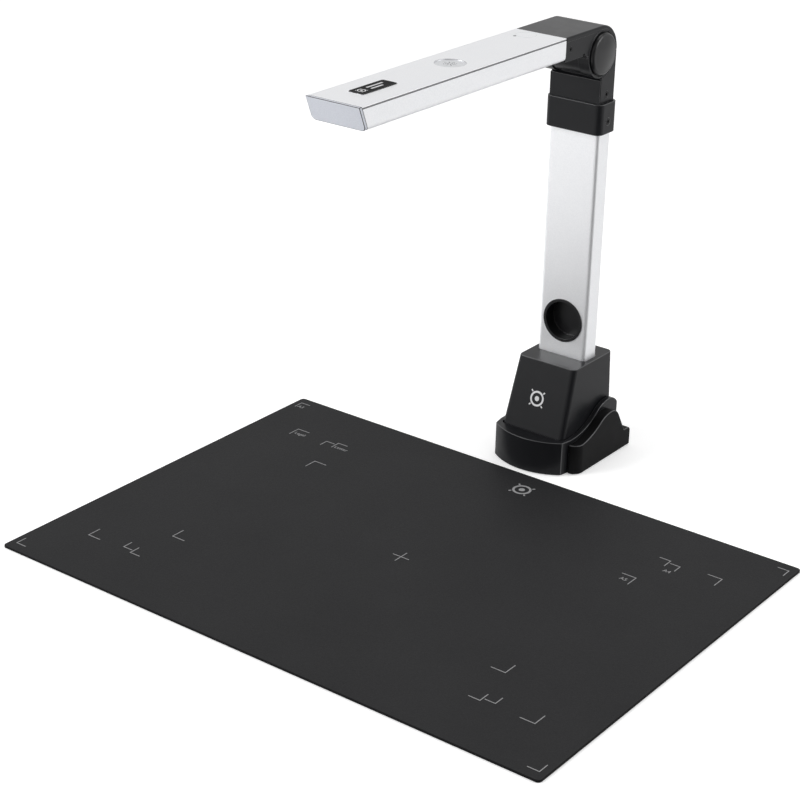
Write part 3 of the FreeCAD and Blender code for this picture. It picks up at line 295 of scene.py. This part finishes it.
def ribbon():
    finish = Finish("ribbon", (0.6, 0.28, 0.06), 0.3)
    lanes = finish.add("ShaderNodeTexWave", {
        "Vector": finish.place, "Scale": 300.0, "Distortion": 0.0}, bands_direction="X")
    finish.set("Base Color", finish.mix(lanes.outputs["Fac"], (0.42, 0.17, 0.03),
                                        (0.68, 0.36, 0.10)))
    finish.bump(lanes.outputs["Fac"], 0.02 * MM)
    return finish.material


def mat_rubber():
    """Charcoal mat: leathery cells with fine pores, and painted shade that makes its sides darker
    than the top.
    """
    finish = Finish("mat_rubber", (0.03, 0.03, 0.031), 0.6)
    cells = finish.cells(1.3 * MM)
    pores = finish.noise(0.5 * MM, 4)
    cloud = finish.noise(60 * MM, 3)
    top = finish.mix(finish.between(cloud, 0, 1), (0.0210, 0.0210, 0.0222),
                     (0.0240, 0.0240, 0.0252))
    top = finish.mix(finish.between(pores, 0.35, 0), top, (0.013, 0.013, 0.014))
    # Painted shade: faces that do not point up are coloured near black.
    normal = finish.add("ShaderNodeNewGeometry").outputs["Normal"]
    upward = finish.add("ShaderNodeSeparateXYZ", {0: normal}).outputs["Z"]
    finish.set("Base Color", finish.mix(finish.between(upward, 0, 1, 0.9, 0.998),
                                        (0.004, 0.004, 0.0045), top))
    finish.set("Roughness", finish.between(pores, 0.68, 0.54))
    finish.set("Specular IOR Level", 0.12)
    finish.bump(cells, 0.04 * MM)
    finish.bump(pores, 0.02 * MM)
    return finish.material


def mat_ink():
    """Screen-printed light grey, broken up slightly by the mat's grain."""
    finish = Finish("mat_ink", (0.3, 0.3, 0.3), 0.7)
    pores = finish.noise(0.5 * MM, 4)
    finish.set("Base Color", finish.mix(finish.between(pores, 0, 1), (0.20, 0.20, 0.205),
                                        (0.36, 0.36, 0.365)))
    finish.bump(pores, 0.02 * MM)
    return finish.material


def white_ink():
    """Opaque white pad print."""
    return moulded("white_ink", (0.62, 0.62, 0.63), (0.72, 0.72, 0.73), 0.5,
                   0.4 * MM, 0.008 * MM)


def bright_rim():
    """Bright cut rim round the badge."""
    return anodised("bright_rim", (0.93, 0.93, 0.94), (0.97, 0.97, 0.975), 0.25, 0.6,
                    0.003 * MM)


def groove_grey():
    """Shadowed bare aluminium down in the head's side grooves."""
    return anodised("groove_grey", (0.22, 0.22, 0.23), (0.30, 0.30, 0.31), 0.5, 0.8, 0.006 * MM)


def engraved_grey():
    """Shallow laser-marked grey on the aluminium."""
    return anodised("engraved_grey", (0.66, 0.67, 0.69), (0.74, 0.75, 0.77), 0.45, 0.8,
                    0.006 * MM)


FINISHES = {make.__name__: make() for make in (
    black_plastic, pod_plastic_shaded, plastic_edge_highlight, gloss_black, gloss_edge_highlight, satin_aluminium,
    end_grey, aluminium_edge_shade, shade_black, groove_grey, label_black, cast_aluminium, steel,
    black_steel, cast_weight, black_rubber, bronze, circuit_board, milky_window, lamp_chip,
    lens_glass, sensor_chip, mic_metal, ribbon, mat_rubber, mat_ink, white_ink, bright_rim,
    engraved_grey)}
# Nodes that look different from the rest of their slot.
NODE_FINISHES = {
    # The side pods take a darker finish as painted shade.
    "side_pod_left": "pod_plastic_shaded",
    "side_pod_right": "pod_plastic_shaded",
    "name_badge": "label_black",
    "head_end_cap": "end_grey",
}
# Finishes of the rounded edges: painted highlights on the black parts, painted shade on the
# aluminium and on the end plate's edges.
NODE_EDGES = {"head_end_cap": "shade_black"}
EDGE_FINISHES = {
    "black_plastic": "plastic_edge_highlight",
    "gloss_black": "gloss_edge_highlight",
    "satin_aluminium": "aluminium_edge_shade",
}


# ---------------------------------------------------------------- rounded edges

# Width of the edge rounding in millimetres; nodes not listed get SMALL_EDGE.
SMALL_EDGE = 0.12
EDGE_WIDTHS = {
    "base_shell": 0.4, "side_pod_left": 0.5, "side_pod_right": 0.5, "tower_shell": 0.5,
    "column_collar": 0.4, "hinge_block": 0.12, "knuckle_hood": 0.12, "hinge_cap_left": 0.2,
    "hinge_cap_right": 0.2, "head_body": 0.12, "head_end_cap": 0.35, "column_tube": 0.2,
    "column_cup": 0.2, "desk_mat": 0.5, "name_badge": 0.1,
}
FLAT_ANGLE = math.radians(0.4)
SHARP_ANGLE = math.radians(32)


def smooth_by_angle():
    """A node group that shades smooth except across edges sharper than SHARP_ANGLE."""
    group = bpy.data.node_groups.new("smooth_by_angle", "GeometryNodeTree")
    group.interface.new_socket("Geometry", in_out="INPUT", socket_type="NodeSocketGeometry")
    group.interface.new_socket("Geometry", in_out="OUTPUT", socket_type="NodeSocketGeometry")
    start = group.nodes.new("NodeGroupInput")
    end = group.nodes.new("NodeGroupOutput")
    angle = group.nodes.new("GeometryNodeInputMeshEdgeAngle")
    sharper = group.nodes.new("FunctionNodeCompare")
    sharper.operation = "LESS_EQUAL"
    sharper.inputs["B"].default_value = SHARP_ANGLE
    faces = group.nodes.new("GeometryNodeSetShadeSmooth")
    edges = group.nodes.new("GeometryNodeSetShadeSmooth")
    edges.domain = "EDGE"
    link = group.links.new
    link(start.outputs[0], faces.inputs["Geometry"])
    link(angle.outputs["Unsigned Angle"], sharper.inputs["A"])
    link(faces.outputs[0], edges.inputs["Geometry"])
    link(sharper.outputs["Result"], edges.inputs["Shade Smooth"])
    link(edges.outputs[0], end.inputs[0])
    return group


SMOOTH = smooth_by_angle()


def soften(piece, width, edge_slot=0, segments=3, clamp=True):
    """Rounds a piece's sharp edges by width metres, and smooths its shading around them."""
    steps = (
        ("WELD", {"merge_threshold": 0.00001}),
        ("DECIMATE", {"decimate_type": "DISSOLVE", "angle_limit": FLAT_ANGLE}),
        ("BEVEL", {"width": width, "segments": segments, "limit_method": "ANGLE",
                   "angle_limit": SHARP_ANGLE, "material": edge_slot,
                   "use_clamp_overlap": clamp}),
        ("NODES", {"node_group": SMOOTH}),
        ("WEIGHTED_NORMAL", {"keep_sharp": True}),
    )
    for kind, settings in steps:
        modifier = piece.modifiers.new(kind.lower(), kind)
        for name, value in settings.items():
            setattr(modifier, name, value)


NEAR = 0.1 * MM                         # slack round each painted recess
GROOVE_DEPTH = 0.5 * MM
GROOVE_DOWN = (0.6 * MM, 1.5 * MM)      # below the head's top
SEAM_DEPTH = 0.9 * MM
SEAM_BACK = (0.5 * MM, 1.4 * MM)        # behind the hinge block's front
BLOCK_FOOT = 5 * MM                     # height of the block's part that is measured
MIC_STAR = 5 * MM                       # half the width of the star of pin-holes


def paint_within(mesh, finish, low, high, upright_only=False):
    """Gives a finish to the faces that lie wholly inside a box, for example down a groove."""
    mesh.materials.append(FINISHES[finish])
    for face in mesh.polygons:
        if upright_only and abs(face.normal.z) > 0.5:
            continue
        corners = [mesh.vertices[i].co for i in face.vertices]
        if all(low[axis] < co[axis] < high[axis] for co in corners for axis in range(3)):
            face.material_index = len(mesh.materials) - 1


def paint_side_recess(name, finish, depth, along, up):
    """Paints a recess cut into both sides of a node, over ranges of y and z."""
    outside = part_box(name)[1].x
    for side in (-1, 1):
        across = sorted((side * (outside - depth - NEAR), side * (outside + NEAR)))
        paint_within(NODES[name].data, finish,
                     (across[0], along[0] - NEAR, up[0] - NEAR),
                     (across[1], along[1] + NEAR, up[1] + NEAR))


def paint_recesses():
    """Darkens the head's side grooves, the hinge block's seams and the microphone's holes with
    painted shade.
    """
    groove = HEAD_HIGH.z - GROOVE_DOWN[1], HEAD_HIGH.z - GROOVE_DOWN[0]
    paint_side_recess("head_body", "groove_grey", GROOVE_DEPTH,
                      (HEAD_LOW.y, HEAD_HIGH.y), groove)
    foot_front = min(vertex.co.y for vertex in NODES["hinge_block"].data.vertices
                     if vertex.co.z < BLOCK_LOW.z + BLOCK_FOOT)
    seam = foot_front + SEAM_BACK[0], foot_front + SEAM_BACK[1]
    paint_side_recess("hinge_block", "shade_black", SEAM_DEPTH,
                      seam, (BLOCK_LOW.z, BLOCK_HIGH.z))
    low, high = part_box("mic_grille")
    middle = (low + high) / 2
    paint_within(NODES["mic_grille"].data, "shade_black",
                 (middle.x - MIC_STAR, middle.y - MIC_STAR, low.z - NEAR),
                 (middle.x + MIC_STAR, middle.y + MIC_STAR, high.z + NEAR),
                 upright_only=True)


def finish_cad_nodes():
    """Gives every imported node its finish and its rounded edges."""
    for name, piece in NODES.items():
        slot = SLOT_OF[name]
        mesh = piece.data
        normals = mesh.attributes.get("custom_normal")
        if normals:
            mesh.attributes.remove(normals)
        mesh.materials.clear()
        mesh.materials.append(FINISHES[NODE_FINISHES.get(name, slot)])
        # The edge finish paints highlight or shade onto the rounded edges.
        edge = NODE_EDGES.get(name, EDGE_FINISHES.get(slot))
        if edge:
            mesh.materials.append(FINISHES[edge])
        soften(piece, EDGE_WIDTHS.get(name, SMALL_EDGE) * MM, 1 if edge else 0,
               clamp=name not in EDGE_WIDTHS)


# ---------------------------------------------------------------- printed marks

def new_piece(name, mesh, finish, body):
    piece = bpy.data.objects.new(name, mesh)
    bpy.context.scene.collection.objects.link(piece)
    mesh.materials.append(FINISHES[finish])
    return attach(piece, body)


def prism(bm, outline, low, high, at=Matrix.Identity(4)):
    """Adds a closed flat solid whose outline is a list of (x, y), between two heights."""
    rings = [[bm.verts.new(at @ Vector((x, y, z))) for x, y in outline] for z in (low, high)]
    bm.faces.new(reversed(rings[0]))
    bm.faces.new(rings[1])
    for i in range(len(outline)):
        after = (i + 1) % len(outline)
        bm.faces.new((rings[0][i], rings[0][after], rings[1][after], rings[1][i]))


def ring(bm, centre, inner, outer, low, high, at=Matrix.Identity(4), steps=48):
    """Adds a flat closed ring."""
    turns = [2 * math.pi * i / steps for i in range(steps)]
    loops = [[bm.verts.new(at @ Vector((centre[0] + radius * math.cos(t),
                                        centre[1] + radius * math.sin(t), z))) for t in turns]
             for radius, z in ((inner, low), (outer, low), (outer, high), (inner, high))]
    for i in range(steps):
        after = (i + 1) % steps
        for a, b in ((0, 1), (1, 2), (2, 3), (3, 0)):
            bm.faces.new((loops[a][i], loops[b][i], loops[b][after], loops[a][after]))


def disc(bm, centre, radius, low, high, at=Matrix.Identity(4), steps=36):
    prism(bm, [(centre[0] + radius * math.cos(2 * math.pi * i / steps),
                centre[1] + radius * math.sin(2 * math.pi * i / steps))
               for i in range(steps)], low, high, at)


def rounded_outline(width, height, radius, steps=8):
    """Corner points of a rectangle about the origin with round corners."""
    points = []
    for quarter, (right, up) in enumerate(((1, 1), (-1, 1), (-1, -1), (1, -1))):
        for i in range(steps + 1):
            turn = math.pi / 2 * (quarter + i / steps)
            points.append((right * (width / 2 - radius) + radius * math.cos(turn),
                           up * (height / 2 - radius) + radius * math.sin(turn)))
    return points


def frame_loop(bm, outer, inner, radius, thick, at):
    """Adds a flat closed frame between two rounded rectangles of the given (width, height)."""
    loops = [[bm.verts.new(at @ Vector((x, y, z))) for x, y in rounded_outline(*size, radius)]
             for size, z in ((inner, -thick), (outer, -thick), (outer, thick), (inner, thick))]
    count = len(loops[0])
    for i in range(count):
        after = (i + 1) % count
        for a in range(4):
            b = (a + 1) % 4
            bm.faces.new((loops[a][i], loops[b][i], loops[b][after], loops[a][after]))


def bar(bm, centre, size, low, high, at=Matrix.Identity(4)):
    (x, y), (w, h) = centre, size
    prism(bm, [(x - w / 2, y - h / 2), (x + w / 2, y - h / 2),
               (x + w / 2, y + h / 2), (x - w / 2, y + h / 2)], low, high, at)


def built(name, draw, finish, body):
    """Makes a piece from a function that draws into a bmesh."""
    bm = bmesh.new()
    draw(bm)
    bmesh.ops.recalc_face_normals(bm, faces=bm.faces)
    mesh = bpy.data.meshes.new(name)
    bm.to_mesh(mesh)
    bm.free()
    return new_piece(name, mesh, finish, body)


def lens_emblem(bm, at, size):
    """A generic camera-lens sign: a ring round a dot, with four short ticks outside it."""
    ring(bm, (0, 0), size * 0.30, size * 0.40, -INK, INK, at)
    disc(bm, (0, 0), size * 0.13, -INK, INK, at)
    for quarter in range(4):
        turn = Matrix.Rotation(math.pi / 2 * quarter + math.pi / 4, 4, "Z")
        bar(bm, (size * 0.5, 0), (size * 0.12, size * 0.07), -INK, INK, at @ turn)


# Standard sheets marked on the mat: length, depth and length of the marks' legs, in millimetres.
SHEETS = {
    "A3": (412, 291, 8.4),
    "Legal": (355.6, 215.9, 10.7),
    "A4": (297, 210, 7.8),
    "Letter": (279.4, 215.9, 8.6),
    "A5": (268, 148, 10.7),
}
# The middle of each sheet's name, in millimetres from its far left (-1) or far right corner.
LABELS = {
    "A3": (-1, 4.5, -6.5),
    "Legal": (-1, 7, -6.5),
    "Letter": (-1, 7.5, -6.5),
    "A4": (1, -4, -11),
    "A5": (1, -6, -6.5),
}
LETTER_HEIGHT = 4.6 * MM
CROSS_LEG = 6.5 * MM
MARK_LINE = 0.6 * MM
MAT_EMBLEM = 17 * MM
MAT_EMBLEM_RIGHT = 6 * MM               # of the mat's middle
MAT_EMBLEM_DOWN = 22 * MM               # from the mat's far edge
TOWER_EMBLEM = 14 * MM
TOWER_EMBLEM_AT = Vector((-1.5, 0, 48)) * MM
BADGE_RIM = 0.45 * MM
BADGE_CORNER = 1.6 * MM
TOUCH_FROM_LIGHT = (4 * MM, 7 * MM)
TOUCH_RADII = (6.8 * MM, 7.05 * MM)


def mat_middle():
    centre = (MAT_LOW + MAT_HIGH) / 2
    return centre.x, centre.y


def corner_marks(bm):
    """An L at each corner of each sheet, both legs along the sheet's edges, and a centre cross."""
    x, y = mat_middle()
    top = MAT_HIGH.z
    for length, depth, leg in SHEETS.values():
        leg *= MM
        for side in (-1, 1):
            for end in (-1, 1):
                corner_x, corner_y = x + side * length / 2 * MM, y + end * depth / 2 * MM
                points = [(0, 0), (leg, 0), (leg, MARK_LINE), (MARK_LINE, MARK_LINE),
                          (MARK_LINE, leg), (0, leg)]
                prism(bm, [(corner_x - side * u, corner_y - end * v) for u, v in points],
                      top - INK, top + INK)
    bar(bm, (x, y), (CROSS_LEG * 2, MARK_LINE), top - INK, top + INK)
    for end in (-1, 1):
        bar(bm, (x, y + end * (CROSS_LEG + MARK_LINE / 2) / 2),
            (MARK_LINE, CROSS_LEG - MARK_LINE / 2), top - INK, top + INK)


def lettering(name, text, height, x, y, finish):
    """A sheet size's plain name, printed on the mat with its middle at x, y."""
    curve = bpy.data.curves.new(name, "FONT")
    curve.body = text
    curve.size = height
    curve.align_x = curve.align_y = "CENTER"
    curve.extrude = INK
    holder = bpy.data.objects.new(name, curve)
    bpy.context.scene.collection.objects.link(holder)
    bpy.context.view_layer.update()
    mesh = bpy.data.meshes.new_from_object(holder)
    bpy.data.objects.remove(holder)
    bm = bmesh.new()
    bm.from_mesh(mesh)
    bmesh.ops.remove_doubles(bm, verts=bm.verts, dist=0.00001)
    bmesh.ops.translate(bm, verts=bm.verts, vec=(x, y, MAT_HIGH.z))
    bm.to_mesh(mesh)
    bm.free()
    mesh.materials.clear()
    return new_piece(name, mesh, finish, "mat")


def mat_print():
    built("mat_marks", corner_marks, "mat_ink", "mat")
    x, y = mat_middle()
    for name, (side, right, up) in LABELS.items():
        length, depth, _ = SHEETS[name]
        lettering(f"mat_label_{name}", name, LETTER_HEIGHT,
                  x + (side * length / 2 + right) * MM, y + (depth / 2 + up) * MM, "mat_ink")
    place = Matrix.Translation((x + MAT_EMBLEM_RIGHT, MAT_HIGH.y - MAT_EMBLEM_DOWN, MAT_HIGH.z))
    built("mat_emblem", lambda bm: lens_emblem(bm, place, MAT_EMBLEM), "mat_ink", "mat")


def surface_place(node, facing, through):
    """A frame on a node's surface, z outward and x to the right, seen along -facing."""
    piece = NODES[node]
    facing = Vector(facing)
    start = through + facing * 1.0
    hit, place, normal, _ = piece.ray_cast(start, -facing)
    if not hit:
        raise RuntimeError(f"nothing of {node} lies behind the mark")
    right = Vector((0, 0, 1)).cross(normal).normalized()
    up = normal.cross(right)
    turn = Matrix((right, up, normal)).transposed().to_4x4()
    return Matrix.Translation(place) @ turn


def tower_print():
    """A small emblem on the sloping front of the tower."""
    at = surface_place("tower_shell", (0, -1, 0), TOWER_EMBLEM_AT)
    built("tower_emblem", lambda bm: lens_emblem(bm, at, TOWER_EMBLEM), "white_ink", "stand")


def badge_print():
    """Emblem and plain bars on the head's badge, and a thin bright rim round it."""
    centre = (BADGE_LOW + BADGE_HIGH) / 2
    width = BADGE_HIGH.x - BADGE_LOW.x
    length = BADGE_HIGH.y - BADGE_LOW.y
    top = Matrix.Translation((centre.x, centre.y, BADGE_HIGH.z)) @ Matrix.Rotation(
        math.pi / 2, 4, "Z")

    def draw(bm):
        lens_emblem(bm, top @ Matrix.Translation((-length * 0.33, 0, 0)), width * 0.6)
        for i, share in enumerate((0.46, 0.34)):
            bar(bm, (length * (share / 2 - 0.12), (0.5 - i) * width * 0.3),
                (length * share, width * 0.12), -INK, INK, top)
    built("badge_print", draw, "white_ink", "head")
    foot = Matrix.Translation((centre.x, centre.y, BADGE_LOW.z))
    outer = (width + BADGE_RIM * 2, length + BADGE_RIM * 2)
    built("badge_rim", lambda bm: frame_loop(bm, outer, (width, length), BADGE_CORNER, INK, foot),
          "bright_rim", "head")


def touch_ring():
    """Faint ring round the touch key beside the status light."""
    centre = (LIGHT_LOW + LIGHT_HIGH) / 2
    right, back = TOUCH_FROM_LIGHT
    at = Matrix.Translation((centre.x + right, centre.y + back, HEAD_HIGH.z))
    built("touch_ring", lambda bm: ring(bm, (0, 0), *TOUCH_RADII, -INK, INK, at),
          "engraved_grey", "head")


# ---------------------------------------------------------------- stage

CAMERA_AZIMUTH = math.radians(36.861)       # from straight in front of the stand, to its right
CAMERA_ELEVATION = math.radians(24.201)
CAMERA_ROLL = math.radians(1.316)
CAMERA_TARGET = Vector((-138.8, -13.3, 0)) * MM
CAMERA_DISTANCE = 1552.3 * MM
CAMERA_LENS = 91.2                          # on a sensor 36 wide
FLOOR_REACH = 12
FLOOR_DROP = 0.05 * MM
FLOOR_LIFT = 0.32                           # the floor's own glow, only for the camera
WALL_LIGHT = 0.85
CEILING_LIGHT = 0.2
CARD_X = (0.24, 1.4)                        # where the black card lies
CARD_Y = (-1.4, 0.0)
CARD_HEIGHT = 1 * MM
CEILING_RISE = (0.55, 0.85)                 # the room dims between these heights, 0 to 1
DARK_AZIMUTH = math.radians(52)             # middle of the room's unlit side
DARK_SPREAD = (0.72, 0.95)                  # cosines between which that side darkens
DARK_LIGHT = 0.04
LIGHT_AIM = (0, -0.15, 0.1)
# Soft boxes: place, size of the panel and power in watts.
SOFTBOXES = {
    "key": ((-1.5, -1.8, 1.3), (1.2, 1.2), 34),
    "side": ((2.0, 0.9, 1.1), (1.2, 1.2), 17),
    "top": ((0.2, 0.6, 2.4), (1.6, 1.2), 12),
}


def add_camera():
    data = bpy.data.cameras.new("camera")
    data.sensor_width = 36
    data.lens = CAMERA_LENS
    data.clip_start, data.clip_end = 0.05, 50
    camera = bpy.data.objects.new("camera", data)
    bpy.context.scene.collection.objects.link(camera)
    flat = math.cos(CAMERA_ELEVATION)
    back = Vector((math.sin(CAMERA_AZIMUTH) * flat, -math.cos(CAMERA_AZIMUTH) * flat,
                   math.sin(CAMERA_ELEVATION)))
    right = Vector((0, 0, 1)).cross(back).normalized()
    turn = Matrix((right, back.cross(right), back)).transposed().to_4x4()
    camera.matrix_world = (Matrix.Translation(CAMERA_TARGET + back * CAMERA_DISTANCE) @ turn
                           @ Matrix.Rotation(CAMERA_ROLL, 4, "Z"))
    bpy.context.scene.camera = camera


def add_floor():
    """Pale floor; the camera sees it a little lifted, so that it reads as white."""
    mesh = bpy.data.meshes.new("floor")
    mesh.from_pydata([(x * FLOOR_REACH, y * FLOOR_REACH, -FLOOR_DROP)
                      for x, y in ((-1, -1), (1, -1), (1, 1), (-1, 1))], [], [(0, 1, 2, 3)])
    floor = bpy.data.objects.new("floor", mesh)
    bpy.context.scene.collection.objects.link(floor)
    finish = Finish("floor_white", (0.93, 0.93, 0.93), 0.9)
    seen = finish.add("ShaderNodeLightPath").outputs["Is Camera Ray"]
    finish.set("Emission Color", (1, 1, 1, 1))
    finish.set("Emission Strength", finish.between(seen, 0, FLOOR_LIFT, 0, 1))
    mesh.materials.append(finish.material)


def add_card():
    """Black card beside the mat, seen only in reflections, that darkens rounded corners."""
    (left, right), (front, back) = CARD_X, CARD_Y
    mesh = bpy.data.meshes.new("card")
    mesh.from_pydata([(x, y, CARD_HEIGHT) for x, y in
                      ((left, front), (right, front), (right, back), (left, back))],
                     [], [(0, 1, 2, 3)])
    card = bpy.data.objects.new("card", mesh)
    bpy.context.scene.collection.objects.link(card)
    mesh.materials.append(Finish("card_black", (0.01, 0.01, 0.01), 0.9).material)
    for ray in ("camera", "diffuse", "shadow", "transmission"):
        setattr(card, f"visible_{ray}", False)


def add_world():
    """White room whose walls are bright and whose ceiling is dim; the camera sees plain white."""
    world = bpy.data.worlds.new("studio")
    world.use_nodes = True
    bpy.context.scene.world = world
    tree = world.node_tree
    nodes = tree.nodes
    direction = nodes.new("ShaderNodeTexCoord").outputs["Generated"]
    split = nodes.new("ShaderNodeSeparateXYZ")
    tree.links.new(direction, split.inputs[0])
    ramp = nodes.new("ShaderNodeValToRGB")
    tree.links.new(split.outputs["Z"], ramp.inputs[0])
    first, last = ramp.color_ramp.elements
    first.position, last.position = CEILING_RISE
    first.color = (WALL_LIGHT, WALL_LIGHT, WALL_LIGHT, 1)
    last.color = (CEILING_LIGHT, CEILING_LIGHT, CEILING_LIGHT, 1)
    towards = nodes.new("ShaderNodeVectorMath")
    towards.operation = "DOT_PRODUCT"
    tree.links.new(direction, towards.inputs[0])
    towards.inputs[1].default_value = (math.sin(DARK_AZIMUTH), -math.cos(DARK_AZIMUTH), 0)
    shade = nodes.new("ShaderNodeMapRange")
    tree.links.new(towards.outputs["Value"], shade.inputs["Value"])
    for name, value in zip(("From Min", "From Max", "To Min", "To Max"),
                           (*DARK_SPREAD, 1, DARK_LIGHT)):
        shade.inputs[name].default_value = value
    lit = nodes.new("ShaderNodeVectorMath")
    lit.operation = "SCALE"
    tree.links.new(ramp.outputs[0], lit.inputs[0])
    tree.links.new(shade.outputs[0], lit.inputs["Scale"])
    choose = nodes.new("ShaderNodeMix")
    choose.data_type = "RGBA"
    tree.links.new(nodes.new("ShaderNodeLightPath").outputs["Is Camera Ray"], choose.inputs[0])
    tree.links.new(lit.outputs[0], choose.inputs[6])
    choose.inputs[7].default_value = (1, 1, 1, 1)
    tree.links.new(choose.outputs[2], nodes["Background"].inputs["Color"])


def add_softbox(name, place, size, power):
    data = bpy.data.lights.new(name, "AREA")
    data.shape = "RECTANGLE"
    data.size, data.size_y = size
    data.energy = power
    light = bpy.data.objects.new(name, data)
    bpy.context.scene.collection.objects.link(light)
    light.location = place
    light.rotation_mode = "QUATERNION"
    light.rotation_quaternion = (Vector(LIGHT_AIM) - Vector(place)).to_track_quat("-Z", "Y")


def add_lights():
    for name, (place, size, power) in SOFTBOXES.items():
        add_softbox(name, place, size, power)
    view = bpy.context.scene.view_settings
    view.view_transform = "Standard"
    view.look = "None"


finish_cad_nodes()
paint_recesses()
mat_print()
tower_print()
badge_print()
touch_ring()
add_camera()
add_floor()
add_card()
add_world()
add_lights()
